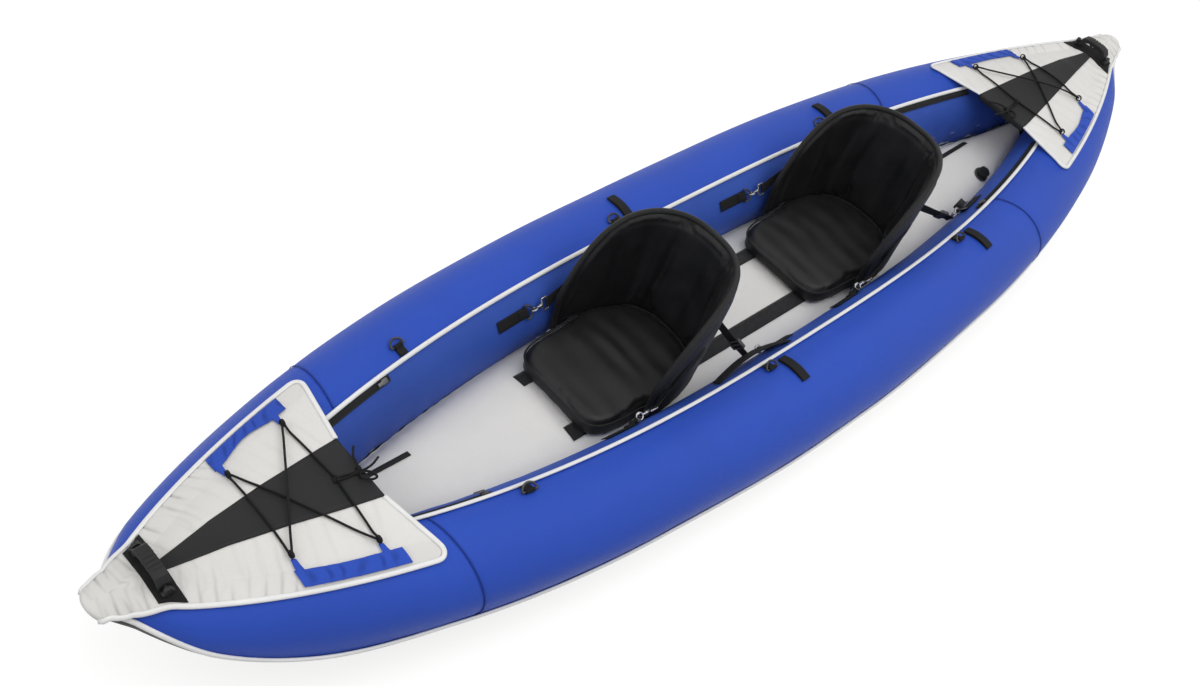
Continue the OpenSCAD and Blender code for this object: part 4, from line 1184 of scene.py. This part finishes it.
def closed_shell(name, columns, rows, top_place, under_place):
    made = bmesh.new()
    for place in (top_place, under_place):
        grid = bmesh.ops.create_grid(made, x_segments=columns, y_segments=rows, size=1)
        for vert in grid["verts"]:
            vert.co = place(vert.co.x, vert.co.y)
    bmesh.ops.bridge_loops(made, edges=[edge for edge in made.edges if edge.is_boundary])
    bmesh.ops.recalc_face_normals(made, faces=made.faces)
    return keep_piece(name, made)


def applied(piece):
    depsgraph = bpy.context.evaluated_depsgraph_get()
    data = bpy.data.meshes.new_from_object(piece.evaluated_get(depsgraph))
    piece.modifiers.clear()
    return data


def puffed(piece):
    remesh = piece.modifiers.new("remesh", "REMESH")
    remesh.mode = "VOXEL"
    remesh.voxel_size = VOXEL
    data = applied(piece)
    piece.data = data
    before = [(vert.co.copy(), vert.normal.copy()) for vert in data.vertices]
    cloth = piece.modifiers.new("swelling", "CLOTH")
    cloth.settings.quality = 5
    cloth.settings.mass = 0.3
    cloth.settings.use_pressure = True
    cloth.settings.uniform_pressure_force = SWELL_PRESSURE
    cloth.settings.effector_weights.gravity = 0
    cloth.settings.tension_stiffness = 12
    cloth.settings.compression_stiffness = 12
    cloth.settings.bending_stiffness = 1.2
    cloth.point_cache.frame_start = 1
    cloth.point_cache.frame_end = SWELL_FRAMES
    for step in range(1, SWELL_FRAMES + 1):
        bpy.context.scene.frame_set(step)
    swollen = applied(piece)
    for vert, (old, outward), new in zip(data.vertices, before, swollen.vertices):
        vert.co = old + outward * clamp((new.co - old).dot(outward), 0, SWELL_LIMIT)
    bpy.context.scene.frame_set(1)


def smooth_shaded(piece):
    for face in piece.data.polygons:
        face.use_smooth = True
    finer = piece.modifiers.new("finer", "SUBSURF")
    finer.levels = 1
    finer.render_levels = 1


seat_names = ("front", "rear")
for seat, seat_name in enumerate(seat_names):
    front_x = SEAT_XS[seat]

    def cushion_top(a, b, front_x=front_x):
        s, y, rim = cushion_spot(a, b)
        x = front_x - s
        edge = max(0.0, 1 - rim ** 9) ** 0.5
        z = cushion_level(x) - 0.010 + 0.008 * edge + 0.004 * (1 - rim ** 2)
        return Vector((x, y * CUSHION_SLIM, z))

    def cushion_under(a, b, front_x=front_x):
        s, y, rim = cushion_spot(a, b)
        x = front_x - s
        edge = max(0.0, 1 - rim ** 9) ** 0.5
        z = floor_z(x, y) + CUSHION_FLOOR + 0.0035 + 0.004 * (1 - edge)
        return Vector((x, y * CUSHION_SLIM, z))

    cushion = closed_shell(seat_name + "_seat_pad", 40, 34, cushion_top, cushion_under)
    puffed(cushion)
    for vert in cushion.data.vertices:
        point = vert.co
        s = front_x - point.x
        y_share = clamp(abs(point.y) / (CUSHION_WIDTH / 2), 0, 1)
        on_top = clamp((point.z - cushion_level(point.x) + 0.016) / 0.012, 0, 1)
        bend = 0.035 * (point.y / CUSHION_WIDTH) ** 2
        ridge_at = s + bend + 0.016 * waver(s * 9, point.y * 8, seat * 2.0)
        depth = 0.6 + 0.9 * waver(s * 7, point.y * 9, 4.0 + seat)
        folds = 0.0024 * depth * crisp(ridge_at * 112, 1)
        drift = 0.0022 * waver(s * 16, point.y * 9, seat * 5.0)
        point.z += on_top * (drift - folds * (1 - y_share ** 4))
        point.z = max(point.z, floor_z(point.x, point.y) + CUSHION_FLOOR)
    smooth_shaded(cushion)
    dress(cushion, seat_fabric, "black_fabric", "hull", seat_name + "_cushion")
    route = []
    for turn in circle(160):
        reach = max(abs(cos(turn)), abs(sin(turn)))
        s, y, rim = cushion_spot(cos(turn) / reach, sin(turn) / reach)
        x = front_x - s
        route.append(Vector((x, y * 1.004, cushion_level(x) - 0.009)))
    seam = bead(seat_name + "_seat_piping", route, [UP] * len(route), 0.0027, 0.0027, 8)
    dress(seam, seat_fabric, "black_fabric", "hull")

# Backrests
# Tall arched backs of the same fabric over foam, curved round the sitter, with wings that run forward.
# The wings are sewn to the cushion sides.
WING_S = 0.36 * CUSHION_LENGTH
WING_END = 89.0
BACK_HALF = CUSHION_WIDTH / 2 + 0.007
BACK_DEPTH = CUSHION_LENGTH - WING_S + 0.010
BACK_THICK = 0.022
BACK_LAP = 0.030
BACK_RISE = 0.282
BACK_LEAN = 0.16
BACK_FLARE = 0.05
BLEND_FRONT = 0.225
BLEND_BACK = 0.340
ROUND = 2 / 2.7


def back_low(seat):
    return cushion_level(SEAT_XS[seat] - CUSHION_LENGTH) - BACK_LAP


def back_high(degrees):
    return BACK_LAP + BACK_RISE * max(0.0001, 1 - (abs(degrees) / 91) ** 6) ** 0.65


def back_point(seat, degrees, v, out):
    angle = radians(degrees)
    z = back_high(degrees) * v
    above = max(0.0, z - BACK_LAP)
    s = WING_S + (BACK_DEPTH + out) * max(0.0, cos(angle)) ** ROUND + BACK_LEAN * above * cos(angle)
    flare = BACK_FLARE * above * abs(sin(angle))
    y = copysign((BACK_HALF + out + flare) * abs(sin(angle)) ** ROUND, degrees)
    return Vector((SEAT_XS[seat] - s, y, back_low(seat) + z))


def back_spot(seat, point):
    z = point.z - back_low(seat)
    s = SEAT_XS[seat] - point.x - WING_S
    above = max(0.0, z - BACK_LAP)
    degrees = 45.0
    for step in range(3):
        angle = radians(degrees)
        run = (s - BACK_LEAN * above * cos(angle)) / (BACK_DEPTH + BACK_THICK / 2)
        wing = abs(point.y) / (BACK_HALF + BACK_THICK / 2 + BACK_FLARE * above * sin(angle))
        degrees = math.degrees(atan2(wing ** (1 / ROUND), max(1e-4, run) ** (1 / ROUND)))
    return degrees, z / back_high(degrees)


def back_fill(a, b):
    return 0.0037 + 0.0028 * (1 - abs(b) ** 8) * (1 - abs(a) ** 10)


def bending_stretch(seat):
    return (SEAT_XS[seat] - BLEND_FRONT, 0, 0.3), (SEAT_XS[seat] - BLEND_BACK, 0, 0.3)


for seat, seat_name in enumerate(seat_names):
    def back_outside(a, b, seat=seat):
        return back_point(seat, WING_END * a, 0.5 + 0.5 * b, BACK_THICK / 2 + back_fill(a, b))

    def back_inside(a, b, seat=seat):
        return back_point(seat, WING_END * a, 0.5 + 0.5 * b, BACK_THICK / 2 - back_fill(a, b))

    back = closed_shell(seat_name + "_back_pad", 96, 44, back_outside, back_inside)
    puffed(back)
    for vert in back.data.vertices:
        degrees, v = back_spot(seat, vert.co)
        angle = radians(degrees)
        signed = copysign(degrees, vert.co.y)
        centre = back_point(seat, signed, clamp(v, 0, 1), BACK_THICK / 2)
        from_sitter = Vector((centre.x - SEAT_XS[seat] + WING_S, centre.y, 0))
        outside = 1 if (vert.co - centre).dot(from_sitter) > 0 else -1
        away = Vector((-cos(angle), copysign(sin(angle), vert.co.y), 0))
        seam_groove = 0.0016 * bell(v - 0.93, 0.022)
        pleat = crisp(degrees * 0.30 + 1.8 * waver(signed * 0.03, v * 1.2, seat), 2)
        folds = -0.0068 * pleat * sin(pi * clamp(1.08 * v, 0, 1))
        drift = 0.0018 * waver(degrees * 0.06, v * 4, seat * 3.0)
        vert.co += away * outside * (-seam_groove + drift + (folds if outside < 0 else 0.4 * folds))
    smooth_shaded(back)
    dress(back, seat_fabric, "black_fabric", None, seat_name + "_backrest", seat_name + "_wings")
    start, stop = bending_stretch(seat)
    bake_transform(back)
    rim = [back_point(seat, mix(-WING_END, WING_END, i / 180), 1.0, BACK_THICK / 2) for i in range(181)]
    low_front = [back_point(seat, side_end * WING_END, 0.02, BACK_THICK / 2) for side_end in (-1, 1)]
    rim = [low_front[0]] + rim + [low_front[1]]
    ups = [Vector((0.12, 0.03, 1))] * len(rim)
    rim_binding = bead(seat_name + "_back_binding", rim, ups, 0.0074, 0.0070)
    dress(rim_binding, seat_fabric, "black_fabric", None)
    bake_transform(rim_binding)

# Seat straps
# Black 25 mm webbing from the wings forward and from the back aft, each to a snap hook on an anchor ring.
# The aft straps run through plastic adjusters. The ends are sewn on the seat.
STRAP_WIDTH = 0.025
STRAP_THICK = 0.0017
ANCHOR_RING = 0.015
HOOK_RADIUS = 0.0085
HOOK_WIRE = 0.0022
HOOK_PLAY = 0.0003
HOOK_SHANK = 0.034
WRAP_RADIUS = 0.0036
RING_TILT = radians(22)
HOOK_TILT = radians(2)
ring_reach = ANCHOR_RING + RING_RADIUS
hook_step = HOOK_RADIUS - HOOK_WIRE - RING_RADIUS - HOOK_PLAY + HOOK_RADIUS + HOOK_SHANK


def strap_bar(x, degrees, way, side):
    at_ring = Matrix.Translation((ring_reach * cos(RING_TILT), 0, ring_reach * sin(RING_TILT)))
    at_bar = Matrix.Rotation(-HOOK_TILT, 4, "Y") @ Matrix.Translation((hook_step, 0, 0))
    return anchor_frame(x, degrees, way, side) @ at_ring @ at_bar


# Each sewn end lies between two angles round the back and two shares of its height.
FORE_END = (70, 82, 0.56, 0.68)
AFT_END = (29, 40, 0.46, 0.54)
for seat, seat_name in enumerate(seat_names):
    fore_straps = []
    aft_straps = []
    for side, strap_seat, fore, x, degrees, way in anchors:
        if strap_seat != seat:
            continue
        a0, a1, v0, v1 = FORE_END if fore else AFT_END
        bar = strap_bar(x, degrees, way, side)
        bar_spot = bar.translation.copy()
        bar_way = (bar.to_3x3() @ Vector((0, 1, 0))).normalized()
        low = back_point(seat, side * (a0 + a1) / 2, v0, BACK_THICK + 0.0015)
        top = back_point(seat, side * (a0 + a1) / 2, v1, BACK_THICK + 0.0015)
        sewn_spot = low.lerp(top, 0.5)
        sewn_way = (top - low).normalized()
        if bar_way.dot(sewn_way) < 0:
            bar_way.negate()

        def web_place(u, v, bar_spot=bar_spot, sewn_spot=sewn_spot, bar_way=bar_way, sewn_way=sewn_way):
            across = bar_way.lerp(sewn_way, u).normalized() * ((v - 0.5) * (STRAP_WIDTH - 0.002))
            return bar_spot.lerp(sewn_spot, u) + across - Vector((0, 0, 0.002 * sin(pi * u)))

        def sewn_place(u, v, seat=seat, side=side, a0=a0, a1=a1, v0=v0, v1=v1):
            return back_point(seat, side * mix(a0 - 2, a1 + 2, u), mix(v0, v1, v), BACK_THICK + 0.0022)

        strap = fore_straps if fore else aft_straps
        web_flat = ((sewn_spot - bar_spot).length, STRAP_WIDTH)
        strap.append(ribbon("web", 24, web_place, web_flat, STRAP_THICK))
        strap.append(ribbon("sewn", 12, sewn_place, (0.05, STRAP_WIDTH), STRAP_THICK))
        wrap = [Vector((WRAP_RADIUS * cos(t), 0, WRAP_RADIUS * sin(t))) for t in circle(20)]
        strap.append(webbing_run("wrap", wrap, STRAP_WIDTH - 0.003, bar, 0.0015))
    start, stop = bending_stretch(seat)
    fore_webs = joined(seat_name + "_fore_webs", fore_straps)
    dress(fore_webs, black_webbing, "black_webbing", None, seat_name + "_seat_straps")
    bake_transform(fore_webs)
    aft_webs = joined(seat_name + "_aft_webs", aft_straps)
    dress(aft_webs, black_webbing, "black_webbing", None, seat_name + "_back_straps")
    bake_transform(aft_webs)
adjuster = moulded_look("adjuster", (0.045, 0.045, 0.047), (0.06, 0.06, 0.062), 800.0, 0.42, 0.3)
softened("strap_buckles", 0.0010, adjuster, "black_plastic", "hull")

# Air chambers
# Three clear vinyl bladders inside the covers, two in the sides and one under the floor.
bladder = moulded_look("bladder", (0.45, 0.52, 0.60), (0.52, 0.58, 0.66), 300.0, 0.35, 0.1)
for node in ("port_air_chamber", "starboard_air_chamber", "floor_air_chamber"):
    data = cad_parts[node].data
    data.materials.clear()
    data.materials.append(bladder)
